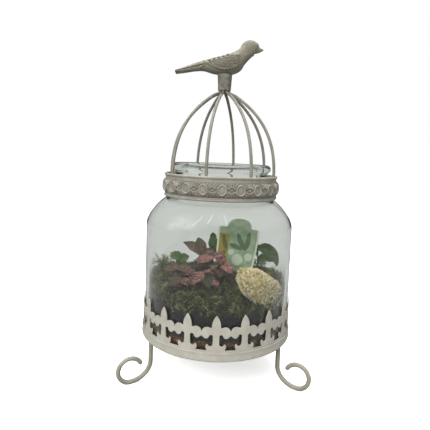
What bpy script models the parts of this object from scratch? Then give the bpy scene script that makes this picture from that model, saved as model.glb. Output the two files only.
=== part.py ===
"""A planted glass jar in a pierced fleur-de-lis stand, under a wire birdcage lid.

Everything is turned or set round the jar's upright axis. An empty carries all pieces, and moves that
axis so that the origin lies under the middle of the whole, on the surface the legs stand on.
Lengths are metres: a number times MM is millimetres. -Y is the front.
"""

import math
import random

import bmesh
import bpy
from mathutils import Matrix, Vector, noise

MM = 0.001
GAP = 0.3 * MM
UP = Vector((0, 0, 1))

# Stand: a round tray on three wire legs, with a pierced band round the jar
TRAY_Z = 37.4 * MM
TRAY_FLOOR = 1.2 * MM
TRAY_R = 72.4 * MM
TRAY_WALL = 0.8 * MM
TRAY_WALL_TOP = 45.9 * MM
BAND_R = 71.3 * MM
BAND_PHASE = math.radians(0.8)
BAND_THICK = 0.9 * MM
FLEURS = 18
FLEUR_TIP_Z = 77.7 * MM
LEG_WIRE = 2.1 * MM
LEG_R = 68 * MM
LEG_STRAIGHT_Z = 18 * MM
SCROLL_R = 11 * MM
SCROLL_CENTRE_R = 87.5 * MM
SCROLL_STEP = 22.5
SCROLL_STEPS = 11
LEG_ANGLES = (-60, 60, 180)
LEG_SIDES = 8
FOOT_FLAT = 0.3 * MM

# Jar of moulded glass
JAR_Z = TRAY_Z + TRAY_FLOOR + GAP
JAR_R = 70 * MM
JAR_WALL = 3.2 * MM
JAR_BASE = 5 * MM
JAR_CORNER = 8 * MM
JAR_SIDES = 32
SHOULDER_Z = 143 * MM
NECK_R = 43.6 * MM
NECK_WALL = 4 * MM
NECK_Z = 176 * MM
LIP_Z = 197.4 * MM
LIP_R = 4 * MM

# Birdcage lid
COLLAR_Z = 169.9 * MM
COLLAR_TOP = 191.5 * MM
COLLAR_R = 54.5 * MM
COLLAR_BORE = 52.4 * MM
COLLAR_SEAT_R = 50.4 * MM
OVALS = 21
OVAL_Z = 180 * MM
OVAL_PHASE = math.radians(1.4)
ORNAMENT_ROOT = 1.3 * MM
WIRES = 8
WIRE = 1.4 * MM
WIRE_R = 50.7 * MM
WIRE_FOOT_Z = 174 * MM
WIRE_PHASE = math.radians(30.5)
WIRE_TOP_R = 4.0 * MM
FERRULE_R = 6.3 * MM
FERRULE_BORE = 5.7 * MM
FERRULE_Z = 269.7 * MM
FERRULE_TOP = 283.4 * MM
BIRD_Z = FERRULE_TOP + GAP

# Planting
FILL_R = JAR_R - JAR_WALL - GAP
GRIT_TOP = 53 * MM
MOSS_CREST = 91.5 * MM
MOSS_CREST_Y = 8
MOSS_THICK = 8 * MM
STEM_DEPTH = 8
STEM_ROOM = 0.5 * MM
SPRIG_DEPTH = 4
BLADE = 0.7 * MM
CUSHION_CENTRE = Vector((40, -38, 91)) * MM
CUSHION_SIZE = Vector((22, 20, 15)) * MM
CUSHION_FALL = 0.5
TUFTS = 62

# Plant tag
TAG_THICK = 0.8 * MM
TAG_WIDE = 41 * MM
TAG_WIDE_LOW = 38 * MM
TAG_LOW = 98 * MM
TAG_SHOULDER = 137.5 * MM
TAG_TOP = 148.3 * MM
TAG_TAB = 25 * MM
TAG_SPIKE = 8 * MM
TAG_DEPTH = 10 * MM
TAG_PLACE = (16 * MM, 7 * MM)
TAG_TILT = math.radians(6.5)

# Stems, in millimetres: where each enters the moss, its head, its thickness and its blades. A blade is
# (share of the stem's height, heading, rise, length, width), and may add its droop and how far it faces
# the front.
POLKA_STEMS = {
    "polka_dot_stem_1": (
        (-12, -4), (-16, -3, 113), 0.9,
        ((1.0, 170, 45, 22, 10, 30), (1.0, 112, 68, 19, 10), (0.93, 285, 8, 15, 9), (0.85, 60, 20, 14, 8),
         (0.78, 225, 8, 15, 8), (0.6, 165, 15, 15, 8), (1.0, 20, 30, 14, 8)),
    ),
    "polka_dot_stem_2": (
        (-5, -13), (-5, -14, 113), 0.9,
        ((1.0, 345, 35, 13, 8), (1.0, 215, 5, 18, 9), (0.88, 278, 5, 15, 9), (0.75, 60, 20, 14, 8),
         (0.65, 305, 5, 15, 9), (0.6, 205, 5, 13, 8), (0.95, 150, 25, 13, 8)),
    ),
    "polka_dot_stem_3": (
        (-22, -18), (-36, -25, 106), 0.9,
        ((1.0, 320, 5, 16, 9), (0.95, 170, 10, 17, 9), (0.85, 245, 5, 14, 9), (0.75, 95, 25, 15, 8),
         (0.8, 10, 20, 12, 8), (0.8, 195, 10, 13, 8)),
    ),
    "polka_dot_stem_4": (
        (-24, -32), (-31, -38, 98), 0.8,
        ((1.0, 215, 2, 16, 8), (0.97, 300, 8, 11, 7), (0.8, 130, 15, 12, 7), (0.85, 200, 10, 11, 7)),
    ),
    "polka_dot_stem_5": (
        (-9, -32), (-11, -37, 104), 0.9,
        ((1.0, 222, -12, 17, 9), (0.97, 288, -15, 17, 9), (0.8, 340, 5, 14, 8), (0.75, 160, 15, 13, 8),
         (0.9, 60, 30, 12, 8)),
    ),
    "polka_dot_stem_6": (
        (5, -16), (5, -18, 109), 0.9,
        ((1.0, 120, 40, 12, 8), (0.95, 300, 5, 17, 10), (0.85, 258, 0, 14, 9), (0.75, 15, 10, 13, 9),
         (0.65, 100, 25, 14, 8), (0.7, 330, 0, 13, 8)),
    ),
}
GREEN_STEMS = {
    "green_stem_1": (
        (-38, 12), (-40, 12, 103), 0.9,
        ((1.0, 150, 45, 12, 10), (0.95, 20, 40, 12, 11), (0.8, 80, 30, 13, 9), (0.8, 240, 30, 12, 9)),
    ),
    "green_stem_2": (
        (-5, 18), (-5, 16, 113), 0.9,
        ((1.0, 100, 82, 17, 9), (0.9, 30, 50, 16, 9), (0.75, 150, 30, 16, 9)),
    ),
    "green_stem_3": (
        (42, 17), (40, 14, 117), 1.0,
        ((1.0, 342, 18, 31, 11, 105, 55), (0.93, 120, 35, 16, 10), (0.8, 355, 10, 17, 9),
         (0.66, 40, 10, 14, 9)),
    ),
}
# Wispy sprigs: where each enters the moss (x, y), and which way it arches
SPRIGS = ((-56, 1, 150), (-51, -6, 215))

LEG_FLAT = LEG_WIRE * math.cos(math.pi / LEG_SIDES)
LEG_REACH = SCROLL_CENTRE_R + SCROLL_R + LEG_FLAT
AXIS_Y = (TRAY_R - LEG_REACH) / 2


def clear_scene():
    for old in list(bpy.data.objects):
        bpy.data.objects.remove(old, do_unlink=True)


def material(name, colour, roughness, metallic=0.0, alpha=1.0):
    made = bpy.data.materials.new(name)
    made.use_nodes = True
    shader = made.node_tree.nodes["Principled BSDF"]
    shader.inputs["Base Color"].default_value = (*colour, 1)
    shader.inputs["Roughness"].default_value = roughness
    shader.inputs["Metallic"].default_value = metallic
    shader.inputs["Alpha"].default_value = alpha
    return made


def place(name, bm, finish, smooth=40):
    """Turns a bmesh into a named object with its material, on the axis."""
    bmesh.ops.recalc_face_normals(bm, faces=bm.faces[:])
    mesh = bpy.data.meshes.new(name)
    bm.to_mesh(mesh)
    bm.free()
    mesh.materials.append(finish)
    mesh.shade_smooth()
    mesh.set_sharp_from_angle(angle=math.radians(smooth))
    piece = bpy.data.objects.new(name, mesh)
    bpy.context.scene.collection.objects.link(piece)
    return piece


def boolean(piece, parts, operation, solver="MANIFOLD"):
    """Joins the parts to the piece, or cuts them from it, and leaves only the piece.

    Where thin blades and tufts cross at shallow angles, the exact solver leaves open edges, so it is
    kept for the holes in the soil.
    """
    group = bpy.data.collections.new(piece.name + " parts")
    bpy.context.scene.collection.children.link(group)
    for part in parts:
        bpy.context.scene.collection.objects.unlink(part)
        group.objects.link(part)
    step = piece.modifiers.new("join or cut", "BOOLEAN")
    step.operation = operation
    step.operand_type = "COLLECTION"
    step.collection = group
    step.solver = solver
    bpy.context.view_layer.update()
    graph = bpy.context.evaluated_depsgraph_get()
    result = bpy.data.meshes.new_from_object(piece.evaluated_get(graph))
    piece.modifiers.remove(step)
    result.materials.clear()
    result.materials.append(piece.data.materials[0])
    piece.data = result
    for part in parts:
        bpy.data.objects.remove(part, do_unlink=True)
    bpy.data.collections.remove(group)


def bezier(start, start_pull, end_pull, end, count):
    """Points from start up to, but not including, end."""
    points = []
    for i in range(count):
        t = i / count
        s = 1 - t
        weights = (s**3, 3 * s * s * t, 3 * s * t * t, t**3)
        corners = (start, start_pull, end_pull, end)
        points.append(tuple(sum(w * p[k] for w, p in zip(weights, corners)) for k in range(len(start))))
    return points


def arc(centre, radius, start, end, count):
    """Points on a circle from one angle to the other, in degrees, both ends included."""
    angles = [math.radians(start + (end - start) * i / count) for i in range(count + 1)]
    return [(centre[0] + radius * math.cos(a), centre[1] + radius * math.sin(a)) for a in angles]


def turned(profile, segments, closed):
    """Turns an (r, z) profile round the axis; an open one starts and ends on the axis."""
    bm = bmesh.new()
    line = [bm.verts.new((r, 0, z)) for r, z in profile]
    edges = [bm.edges.new(pair) for pair in zip(line, line[1:])]
    if closed:
        edges.append(bm.edges.new((line[-1], line[0])))
    bmesh.ops.spin(
        bm, geom=line + edges, cent=(0, 0, 0), axis=UP, angle=math.tau, steps=segments, use_merge=True
    )
    bmesh.ops.remove_doubles(bm, verts=bm.verts[:], dist=0.001 * MM)
    return bm


def radial(angle, r, z):
    """A point at an angle from the front, positive to the right."""
    return Vector((r * math.sin(angle), -r * math.cos(angle), z))


def tube(bm, points, radius, sides, side_on, tip=1.0):
    """A closed tube along the points; side_on is roughly square to the path, tip scales the far end."""
    rings = []
    for i, point in enumerate(points):
        before = points[max(i - 1, 0)]
        after = points[min(i + 1, len(points) - 1)]
        along = (after - before).normalized()
        across = (side_on - along * side_on.dot(along)).normalized()
        other = along.cross(across)
        wide = radius * (1 + (tip - 1) * i / (len(points) - 1))
        ring = []
        for k in range(sides):
            turn = math.tau * (k + 0.5) / sides
            ring.append(bm.verts.new(point + wide * (math.cos(turn) * across + math.sin(turn) * other)))
        rings.append(ring)
    for low, high in zip(rings, rings[1:]):
        for k in range(sides):
            n = (k + 1) % sides
            bm.faces.new((low[k], low[n], high[n], high[k]))
    bm.faces.new(rings[0][::-1])
    bm.faces.new(rings[-1])


# The stand

def make_tray(paint):
    floor_top = TRAY_Z + TRAY_FLOOR
    profile = [
        (0, TRAY_Z),
        (TRAY_R - 1.5 * MM, TRAY_Z),
        (TRAY_R, TRAY_Z + 1.5 * MM),
        (TRAY_R, TRAY_WALL_TOP),
        (TRAY_R - TRAY_WALL, TRAY_WALL_TOP),
        (TRAY_R - TRAY_WALL, floor_top),
        (0, floor_top),
    ]
    return place("stand_tray", turned(profile, 40, False), paint)


def half_fleur():
    """Half of one fleur and of the opening beside it: (distance from its stem, height)."""
    half = math.pi * BAND_R / FLEURS / MM
    tip = FLEUR_TIP_Z / MM
    foot = (TRAY_Z + TRAY_FLOOR + GAP) / MM
    outline = [(0, foot), (half, foot), (half, 47.3), (7.5, 47.3), (8.7, 50.8), (7.6, 53)]
    outline += arc((4.7, 53.1), 1.95, -20, -180, 2)
    outline += arc((4.4, 59.3), 1.65, 180, 30, 2)
    outline += arc((8.5, 60.3), 2.6, 195, 320, 2)
    outline += [(half, 60.2), (half, 63.5)]
    outline += arc((7.8, 63.0), 4.6, 32, 118, 3)
    outline += [(3.8, 67), (3.6, 70.8), (2.2, 75), (0, tip)]
    return [(u * MM, z * MM) for u, z in outline]


def make_band(paint):
    tile = bmesh.new()
    tile.faces.new([tile.verts.new((u, 0, z)) for u, z in half_fleur()])
    quarter = math.pi * BAND_R / FLEURS / 2
    bmesh.ops.bisect_plane(
        tile, geom=tile.verts[:] + tile.edges[:] + tile.faces[:], plane_co=(quarter, 0, 0), plane_no=(1, 0, 0)
    )
    bmesh.ops.triangulate(tile, faces=tile.faces[:])
    flat = bpy.data.meshes.new("half fleur")
    tile.to_mesh(flat)
    tile.free()
    bm = bmesh.new()
    for k in range(FLEURS):
        for side in (1, -1):
            start = len(bm.verts)
            bm.from_mesh(flat)
            bm.verts.ensure_lookup_table()
            for vert in bm.verts[start:]:
                angle = BAND_PHASE + math.tau * k / FLEURS + side * vert.co.x / BAND_R
                vert.co = radial(angle, BAND_R, vert.co.z)
    bmesh.ops.remove_doubles(bm, verts=bm.verts[:], dist=0.005 * MM)
    bmesh.ops.recalc_face_normals(bm, faces=bm.faces[:])
    made = bmesh.ops.extrude_face_region(bm, geom=bm.faces[:], use_keep_orig=True)
    inward = 1 - BAND_THICK / BAND_R
    for vert in [item for item in made["geom"] if isinstance(item, bmesh.types.BMVert)]:
        vert.co.x *= inward
        vert.co.y *= inward
    bpy.data.meshes.remove(flat)
    return place("stand_band", bm, paint)


def leg_path():
    """(r, z) of a leg's wire: straight down, out along the ground and up round its scroll."""
    down = SCROLL_CENTRE_R - LEG_R
    low = LEG_FLAT - FOOT_FLAT
    path = [(LEG_R, TRAY_Z - GAP), (LEG_R, LEG_STRAIGHT_Z)]
    for i in range(1, 5):
        turn = math.radians(90 * i / 5)
        r = SCROLL_CENTRE_R - down * math.cos(turn)
        path.append((r, LEG_STRAIGHT_Z - (LEG_STRAIGHT_Z - low) * math.sin(turn)))
    end = -90 + SCROLL_STEP * SCROLL_STEPS
    path += arc((SCROLL_CENTRE_R, low + SCROLL_R), SCROLL_R, -90, end, SCROLL_STEPS)
    return path


def make_leg(number, degrees, paint):
    angle = math.radians(degrees)
    bm = bmesh.new()
    points = [radial(angle, r, z) for r, z in leg_path()]
    tube(bm, points, LEG_WIRE, LEG_SIDES, radial(angle + math.pi / 2, 1, 0))
    bmesh.ops.bisect_plane(
        bm, geom=bm.verts[:] + bm.edges[:] + bm.faces[:], plane_co=(0, 0, 0), plane_no=-UP, clear_outer=True
    )
    bmesh.ops.holes_fill(bm, edges=[edge for edge in bm.edges if edge.is_boundary])
    return place(f"stand_leg_{number}", bm, paint, 60)


# The jar

def shoulder(inset, count):
    """The jar's shoulder, set in by the wall's thickness for its inner side."""
    pull = 9.5 * MM
    start = (JAR_R - inset, SHOULDER_Z)
    end = (46.5 * MM - 0.6 * inset, 171.5 * MM - 0.8 * inset)
    return bezier(start, (start[0], start[1] + pull), (end[0] + pull, end[1] - 3.5 * MM), end, count)


def make_jar(glass):
    inner_r = JAR_R - JAR_WALL
    inner_z = JAR_Z + JAR_BASE
    profile = [(0, JAR_Z)]
    profile += arc((JAR_R - JAR_CORNER, JAR_Z + JAR_CORNER), JAR_CORNER, -90, 0, 2)
    profile += shoulder(0, 4)
    profile += [(46.5 * MM, 171.5 * MM), (44.4 * MM, 173.4 * MM), (NECK_R, NECK_Z), (NECK_R, LIP_Z - LIP_R)]
    profile += arc((NECK_R - 0.4 * MM, LIP_Z), LIP_R, -40, 180, 4)
    profile += [(NECK_R - NECK_WALL, NECK_Z - 1 * MM)]
    profile += shoulder(JAR_WALL, 3)[::-1]
    profile += arc((inner_r - 5 * MM, inner_z + 5 * MM), 5 * MM, 0, -90, 2)
    profile += [(0, inner_z)]
    return place("jar", turned(profile, JAR_SIDES, False), glass)


# The birdcage lid

def collar_profile():
    """(r, z) of the collar's section: rolled edges, a belt that swells for the ovals, a foot turned in."""
    outside = [
        (COLLAR_SEAT_R, COLLAR_Z),
        (COLLAR_R - 0.8 * MM, COLLAR_Z),
        (COLLAR_R - 0.5 * MM, COLLAR_Z + 2.4 * MM),
        (COLLAR_R - 1.3 * MM, COLLAR_Z + 3.6 * MM),
    ]
    outside += [(COLLAR_R, OVAL_Z - 3 * MM), (COLLAR_R, OVAL_Z + 3 * MM)]
    outside += [
        (COLLAR_R - 1.3 * MM, COLLAR_TOP - 3.2 * MM),
        (COLLAR_R - 1 * MM, COLLAR_TOP - 1.4 * MM),
        (COLLAR_R - 1.5 * MM, COLLAR_TOP),
    ]
    inside = [
        (COLLAR_BORE, COLLAR_TOP - 0.8 * MM),
        (COLLAR_BORE, COLLAR_Z + 1.6 * MM),
        (COLLAR_SEAT_R, COLLAR_Z + 1.2 * MM),
    ]
    return outside + inside


def medallion(angle, z, wide, tall, height, dome, sides):
    """A raised oval on the collar: a rim that steps up, and a low dome or point in its middle."""
    bm = bmesh.new()
    rings = []
    for scale, out in ((1.0, -ORNAMENT_ROOT), (0.9, height), (0.62, height * 0.45)):
        ring = []
        for k in range(sides):
            turn = math.tau * k / sides
            around = angle + scale * wide / 2 * math.cos(turn) / COLLAR_R
            ring.append(bm.verts.new(radial(around, COLLAR_R + out, z + scale * tall / 2 * math.sin(turn))))
        rings.append(ring)
    for low, high in zip(rings, rings[1:]):
        for k in range(sides):
            n = (k + 1) % sides
            bm.faces.new((low[k], low[n], high[n], high[k]))
    bm.faces.new(rings[0][::-1])
    top = bm.verts.new(radial(angle, COLLAR_R + dome, z))
    for k in range(sides):
        bm.faces.new((rings[-1][k], rings[-1][(k + 1) % sides], top))
    return bm


def stud(angle, z, wide, tall, height):
    """A small four-sided boss on the collar, between two ovals."""
    bm = bmesh.new()
    foot = []
    for side, rise in ((-1, 0), (0, -1), (1, 0), (0, 1)):
        around = angle + side * wide / 2 / COLLAR_R
        foot.append(radial(around, COLLAR_R - ORNAMENT_ROOT, z + rise * tall / 2))
    low = [bm.verts.new(point) for point in foot]
    top = bm.verts.new(radial(angle, COLLAR_R + height, z))
    bm.faces.new(low[::-1])
    for k in range(4):
        bm.faces.new((low[k], low[(k + 1) % 4], top))
    return bm


def make_collar(paint):
    collar = place("lid_collar", turned(collar_profile(), 2 * OVALS, True), paint)
    raised = []
    pitch = math.tau / OVALS
    for k in range(OVALS):
        angle = OVAL_PHASE + k * pitch
        oval = medallion(angle, OVAL_Z, 9 * MM, 10.4 * MM, 1 * MM, 0.9 * MM, 8)
        raised.append(place(f"oval {k}", oval, paint))
        between = angle + pitch / 2
        raised.append(place(f"boss {k}", stud(between, OVAL_Z, 4.4 * MM, 9 * MM, 1.1 * MM), paint))
    boolean(collar, raised, "UNION")
    return collar


def wire_path():
    """(r, z) of a cage wire, from inside the collar up over the dome and into the ferrule."""
    path = [(WIRE_R, WIRE_FOOT_Z)]
    path += bezier((WIRE_R, 192 * MM), (WIRE_R, 228 * MM), (35 * MM, 248.5 * MM), (13.5 * MM, 263.2 * MM), 6)
    path += bezier(
        (13.5 * MM, 263.2 * MM), (8.5 * MM, 266.8 * MM), (WIRE_TOP_R, 266.4 * MM), (WIRE_TOP_R, 269.6 * MM), 2
    )
    path += [(WIRE_TOP_R, 269.6 * MM), (WIRE_TOP_R, 279 * MM)]
    return path


def make_wire(number, paint):
    angle = WIRE_PHASE + math.tau * number / WIRES
    bm = bmesh.new()
    tube(bm, [radial(angle, r, z) for r, z in wire_path()], WIRE, 6, radial(angle + math.pi / 2, 1, 0))
    return place(f"lid_wire_{number + 1}", bm, paint, 70)


def make_ferrule(paint):
    depth = 10 * MM
    profile = [
        (0, FERRULE_Z + depth),
        (FERRULE_BORE, FERRULE_Z + depth),
        (FERRULE_BORE, FERRULE_Z),
        (FERRULE_R, FERRULE_Z + 0.4 * MM),
        (FERRULE_R - 0.2 * MM, FERRULE_Z + 2 * MM),
        (FERRULE_R - 0.2 * MM, FERRULE_TOP - 2.5 * MM),
        (FERRULE_R + 0.5 * MM, FERRULE_TOP - 1.2 * MM),
        (FERRULE_R + 0.3 * MM, FERRULE_TOP),
        (0, FERRULE_TOP),
    ]
    return place("lid_ferrule", turned(profile, 16, False), paint)


def bird_stations():
    """x, z of the body's middle line, then half its height and half its width, tail to beak."""
    return (
        (-46.5, 285.5, 1.7, 5.6),
        (-38, 287.6, 2.7, 4.6),
        (-29, 290.2, 3.7, 4.4),
        (-20, 291.9, 4.9, 6.0),
        (-10, 292.3, 7.6, 8.6),
        (0, 293.2, 9.3, 9.9),
        (7.6, 295.6, 9.7, 9.8),
        (12.2, 299.4, 7.9, 8.4),
        (17.7, 304.3, 6.7, 7.0),
        (22.0, 309.0, 7.6, 6.6),
        (27.0, 309.2, 6.0, 5.2),
        (30.6, 308.2, 2.9, 2.7),
        (35, 308.3, 0.5, 0.5),
    )


def make_bird(paint):
    bm = bmesh.new()
    stations = bird_stations()
    sides = 12
    rings = []
    for i, (x, z, tall, wide) in enumerate(stations):
        before = stations[max(i - 1, 0)]
        after = stations[min(i + 1, len(stations) - 1)]
        lean = math.atan2(after[1] - before[1], after[0] - before[0])
        ring = []
        for k in range(sides):
            turn = math.tau * (k + 0.5) / sides
            rise = tall * math.sin(turn)
            middle = Vector((x - rise * math.sin(lean), wide * math.cos(turn), z + rise * math.cos(lean)))
            ring.append(bm.verts.new(middle * MM))
        rings.append(ring)
    for low, high in zip(rings, rings[1:]):
        for k in range(sides):
            n = (k + 1) % sides
            bm.faces.new((low[k], low[n], high[n], high[k]))
    bm.faces.new(rings[0][::-1])
    bm.faces.new(rings[-1])
    bird = place("lid_bird", bm, paint, 50)
    parts = [make_wing(side, paint) for side in (-1, 1)]
    pin_top = BIRD_Z + 5 * MM
    pin = [(0, BIRD_Z), (5 * MM, BIRD_Z), (4.6 * MM, pin_top), (0, pin_top)]
    parts.append(place("bird foot", turned(pin, sides, False), paint))
    boolean(bird, parts, "UNION")
    return bird


def make_wing(side, paint):
    """A folded wing on the bird's flank: a plate with a rounded shoulder, a notched edge and a point."""
    outline = [(10, 299.4), (6, 301), (1, 301.6), (-1, 303), (-6, 301.6), (-8, 302.4), (-13, 300.2)]
    outline += [(-15, 300.6), (-21, 297.6), (-26, 296.2), (-19, 291.6), (-10, 288.6), (0, 288), (7, 290)]
    outline += [(12, 295)]
    bm = bmesh.new()
    inner = [bm.verts.new(Vector((x, side * 5.0, z)) * MM) for x, z in outline]
    outer = []
    for x, z in outline:
        bulge = 10.4 - 0.008 * (x - 2) ** 2 - 0.03 * (z - 295) ** 2
        outer.append(bm.verts.new(Vector((x, side * bulge, z)) * MM))
    middle = bm.verts.new(Vector((-3, side * 11.6, 295)) * MM)
    bm.faces.new(inner)
    for k in range(len(outline)):
        n = (k + 1) % len(outline)
        bm.faces.new((inner[k], inner[n], outer[n], outer[k]))
        bm.faces.new((outer[k], outer[n], middle))
    return place(f"wing {side}", bm, paint)


# The planting

def moss_height(x, y):
    """Height of the moss over a point of the jar's floor, for x and y in millimetres.

    It falls away from a crest, swells under the polka-dot plant and dips under the lichen cushion.
    """
    fall = 0.0017 if y < MOSS_CREST_Y else 0.0035
    height = MOSS_CREST / MM - fall * (y - MOSS_CREST_Y) ** 2
    height += 4 * math.exp(-((x + 8) ** 2 + (y - 4) ** 2) / 900)
    height -= 7 * math.exp(-((x - 42) ** 2 + (y + 46) ** 2) / 600)
    height += 2.2 * noise.noise(Vector((x, y, 0)) / 14) + 1.4 * noise.noise(Vector((x, y, 40)) / 6)
    return height * MM


def soil_height(x, y):
    """Height of the soil, a moss layer's thickness lower."""
    return moss_height(x, y) - MOSS_THICK


def heaped(top, bottom, rings=4, segments=JAR_SIDES):
    """A round layer that fills the jar, between two heights given for each point."""
    bm = bmesh.new()
    layers = []
    for height in (bottom, top):
        circles = []
        for i in range(1, rings + 1):
            r = FILL_R * i / rings
            circle = []
            for k in range(segments):
                flat = radial(math.tau * k / segments, r, 0)
                flat.z = height(flat.x / MM, flat.y / MM)
                circle.append(bm.verts.new(flat))
            circles.append(circle)
        centre = bm.verts.new((0, 0, height(0, 0)))
        for k in range(segments):
            bm.faces.new((circles[0][k], circles[0][(k + 1) % segments], centre))
        for low, high in zip(circles, circles[1:]):
            for k in range(segments):
                n = (k + 1) % segments
                bm.faces.new((low[k], high[k], high[n]))
                bm.faces.new((low[k], high[n], low[n]))
        layers.append(circles[-1])
    for k in range(segments):
        n = (k + 1) % segments
        bm.faces.new((layers[0][k], layers[0][n], layers[1][n], layers[1][k]))
    return bm


def make_grit(finish):
    base = JAR_Z + JAR_BASE + GAP
    corner = 5.5 * MM
    profile = [(0, base)] + arc((FILL_R - corner, base + corner), corner, -90, 0, 3)
    profile += [(FILL_R, GRIT_TOP), (0, GRIT_TOP)]
    return place("drainage_grit", turned(profile, JAR_SIDES, False), finish)


def make_soil(finish):
    return place("soil", heaped(soil_height, lambda x, y: GRIT_TOP + GAP), finish)


def make_carpet(finish):
    bm = heaped(moss_height, lambda x, y: soil_height(x, y) + GAP)
    return place("moss_carpet", bm, finish)


def make_reindeer_moss(finish):
    """A cushion of branching lichen: a lumpy core with many short tufts standing out of it."""
    rng = random.Random(6)
    bm = bmesh.new()
    bmesh.ops.create_icosphere(bm, subdivisions=2, radius=1)
    for vert in bm.verts:
        vert.co = cushion_point(vert.co, 0.88 + 0.14 * noise.noise(vert.co * 2.2))
        hold_in_jar(vert)
    cushion = place("reindeer_moss", bm, finish, 180)
    tufts = []
    for i in range(TUFTS):
        z = 1 - 1.5 * (i + 0.5) / TUFTS
        turn = i * math.pi * (3 - math.sqrt(5))
        out = Vector((math.cos(turn), math.sin(turn), 0)) * math.sqrt(max(0, 1 - z * z)) + UP * z
        tufts.append(tuft(i, out, rng, finish))
    below = place("carpet below", heaped(lambda x, y: moss_height(x, y) + GAP, lambda x, y: 0), finish)
    boolean(cushion, tufts, "UNION")
    keep_outer_shell(cushion)
    boolean(cushion, [below], "DIFFERENCE")
    keep_outer_shell(cushion)
    return cushion


def keep_outer_shell(piece):
    """Fills the small hollows that joining sealed, and drops loose scraps: only the largest shell stays."""
    bm = bmesh.new()
    bm.from_mesh(piece.data)
    waiting = set(bm.verts)
    shells = []
    while waiting:
        edge = [waiting.pop()]
        shell = set(edge)
        while edge:
            for link in edge.pop().link_edges:
                for vert in link.verts:
                    if vert not in shell:
                        shell.add(vert)
                        edge.append(vert)
        waiting -= shell
        shells.append(shell)
    largest = max(shells, key=len)
    bmesh.ops.delete(bm, geom=[vert for vert in bm.verts if vert not in largest], context="VERTS")
    bm.to_mesh(piece.data)
    bm.free()


def hold_in_jar(vert):
    room = FILL_R - 0.5 * MM
    reach = math.hypot(vert.co.x, vert.co.y)
    if reach > room:
        vert.co.x *= room / reach
        vert.co.y *= room / reach


def cushion_point(out, reach):
    """A point on the cushion's form, which slopes down to the right, a reach out along a direction."""
    spot = Vector(out[k] * CUSHION_SIZE[k] * reach for k in range(3))
    return CUSHION_CENTRE + spot - UP * CUSHION_FALL * spot.x


def tuft(number, out, rng, finish):
    """A short blunt sprig of lichen, three-sided, standing out of the cushion."""
    bm = bmesh.new()
    foot = cushion_point(out, 0.7)
    head = cushion_point(out, rng.uniform(0.98, 1.1))
    side = out.orthogonal().normalized()
    wide = rng.uniform(1.7, 2.5) * MM
    tube(bm, [foot, head], wide, 3, side, 0.4)
    for vert in bm.verts:
        hold_in_jar(vert)
    return place(f"tuft {number}", bm, finish)


def leaf(bm, base, heading, rise, length, wide, droop=35, face=35):
    """A thin closed blade, narrow at its foot, oval, pointed, and bending down along its length.

    heading is the way it points seen from above, in degrees from +X towards +Y, rise is its slope at
    the stalk, droop is how far it bends down to its tip, and face turns its upper side to the front.
    """
    turn = math.radians(heading)
    side = Vector((-math.sin(turn), math.cos(turn), 0))
    flat = Vector((math.cos(turn), math.sin(turn), 0))
    roll = math.radians(face) * side.y
    stations = ((0, 0.5 * MM), (0.36, wide * 0.5), (0.7, wide * 0.42), (1, 0))
    point = Vector(base)
    last = 0
    rows = []
    for along, half in stations:
        lean = math.radians(rise - droop * along)
        forward = flat * math.cos(lean) + UP * math.sin(lean)
        over = forward.cross(side)
        across = side * math.cos(roll) + over * math.sin(roll)
        normal = over * math.cos(roll) - side * math.sin(roll)
        point = point + forward * (along - last) * length
        last = along
        lift = 0.35 * half
        wave = 0.12 * half * math.sin(9 * along)
        cross = [point]
        if half:
            cross = [
                point - across * half + normal * (lift + wave),
                point,
                point + across * half + normal * (lift - wave),
            ]
        rows.append([[bm.verts.new(p + normal * s * BLADE / 2) for p in cross] for s in (1, -1)])
    for (top, under), (next_top, next_under) in zip(rows, rows[1:]):
        for upper, a, b in ((True, top, next_top), (False, under, next_under)):
            for k in range(2):
                corners = [a[k], a[k + 1], b[k + 1], b[k]] if len(b) == 3 else [a[k], a[k + 1], b[0]]
                for tri in (corners[:3], [corners[0], *corners[2:]])[: len(corners) - 2]:
                    bm.faces.new(tri if upper else tri[::-1])
        for k in (0, 2):
            n = k if len(next_top) == 3 else 0
            bm.faces.new((top[k], next_top[n], next_under[n], under[k]))
    first_top, first_under = rows[0]
    bm.faces.new((*first_top, *first_under[::-1]))


def stem_path(entry, head, below):
    """Points from under the soil to the head, for a stem that leaves the moss near its entry (x, y)."""
    foot = Vector((*entry, soil_height(*entry) / MM - below))
    head = Vector(head)
    middle = foot.lerp(head, 0.2)
    middle.z = (foot.z + head.z) / 2
    return [Vector(p) * MM for p in bezier(foot, middle, middle, head, 5)] + [head * MM]


def leafy_stem(name, points, thick, blades, finish):
    """One stem from its hole in the soil to its head, with its leaves fused to it."""
    bm = bmesh.new()
    tube(bm, points, thick * MM, 5, Vector((0, 1, 0)), 0.7)
    stem = place(name, bm, finish, 180)
    parts = []
    for i, (share, heading, rise, length, wide, *bend) in enumerate(blades):
        blade = bmesh.new()
        spot = share * (len(points) - 1)
        low = min(int(spot), len(points) - 2)
        base = points[low].lerp(points[low + 1], spot - low)
        leaf(blade, base, heading, rise, length * MM, wide * MM, *bend)
        parts.append(place(f"{name} leaf {i}", blade, finish, 180))
    boolean(stem, parts, "UNION")
    return stem


def make_stems(pattern, finish):
    made = []
    for name, (entry, head, thick, blades) in pattern.items():
        made.append(leafy_stem(name, stem_path(entry, head, STEM_DEPTH), thick, blades, finish))
    return made


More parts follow.
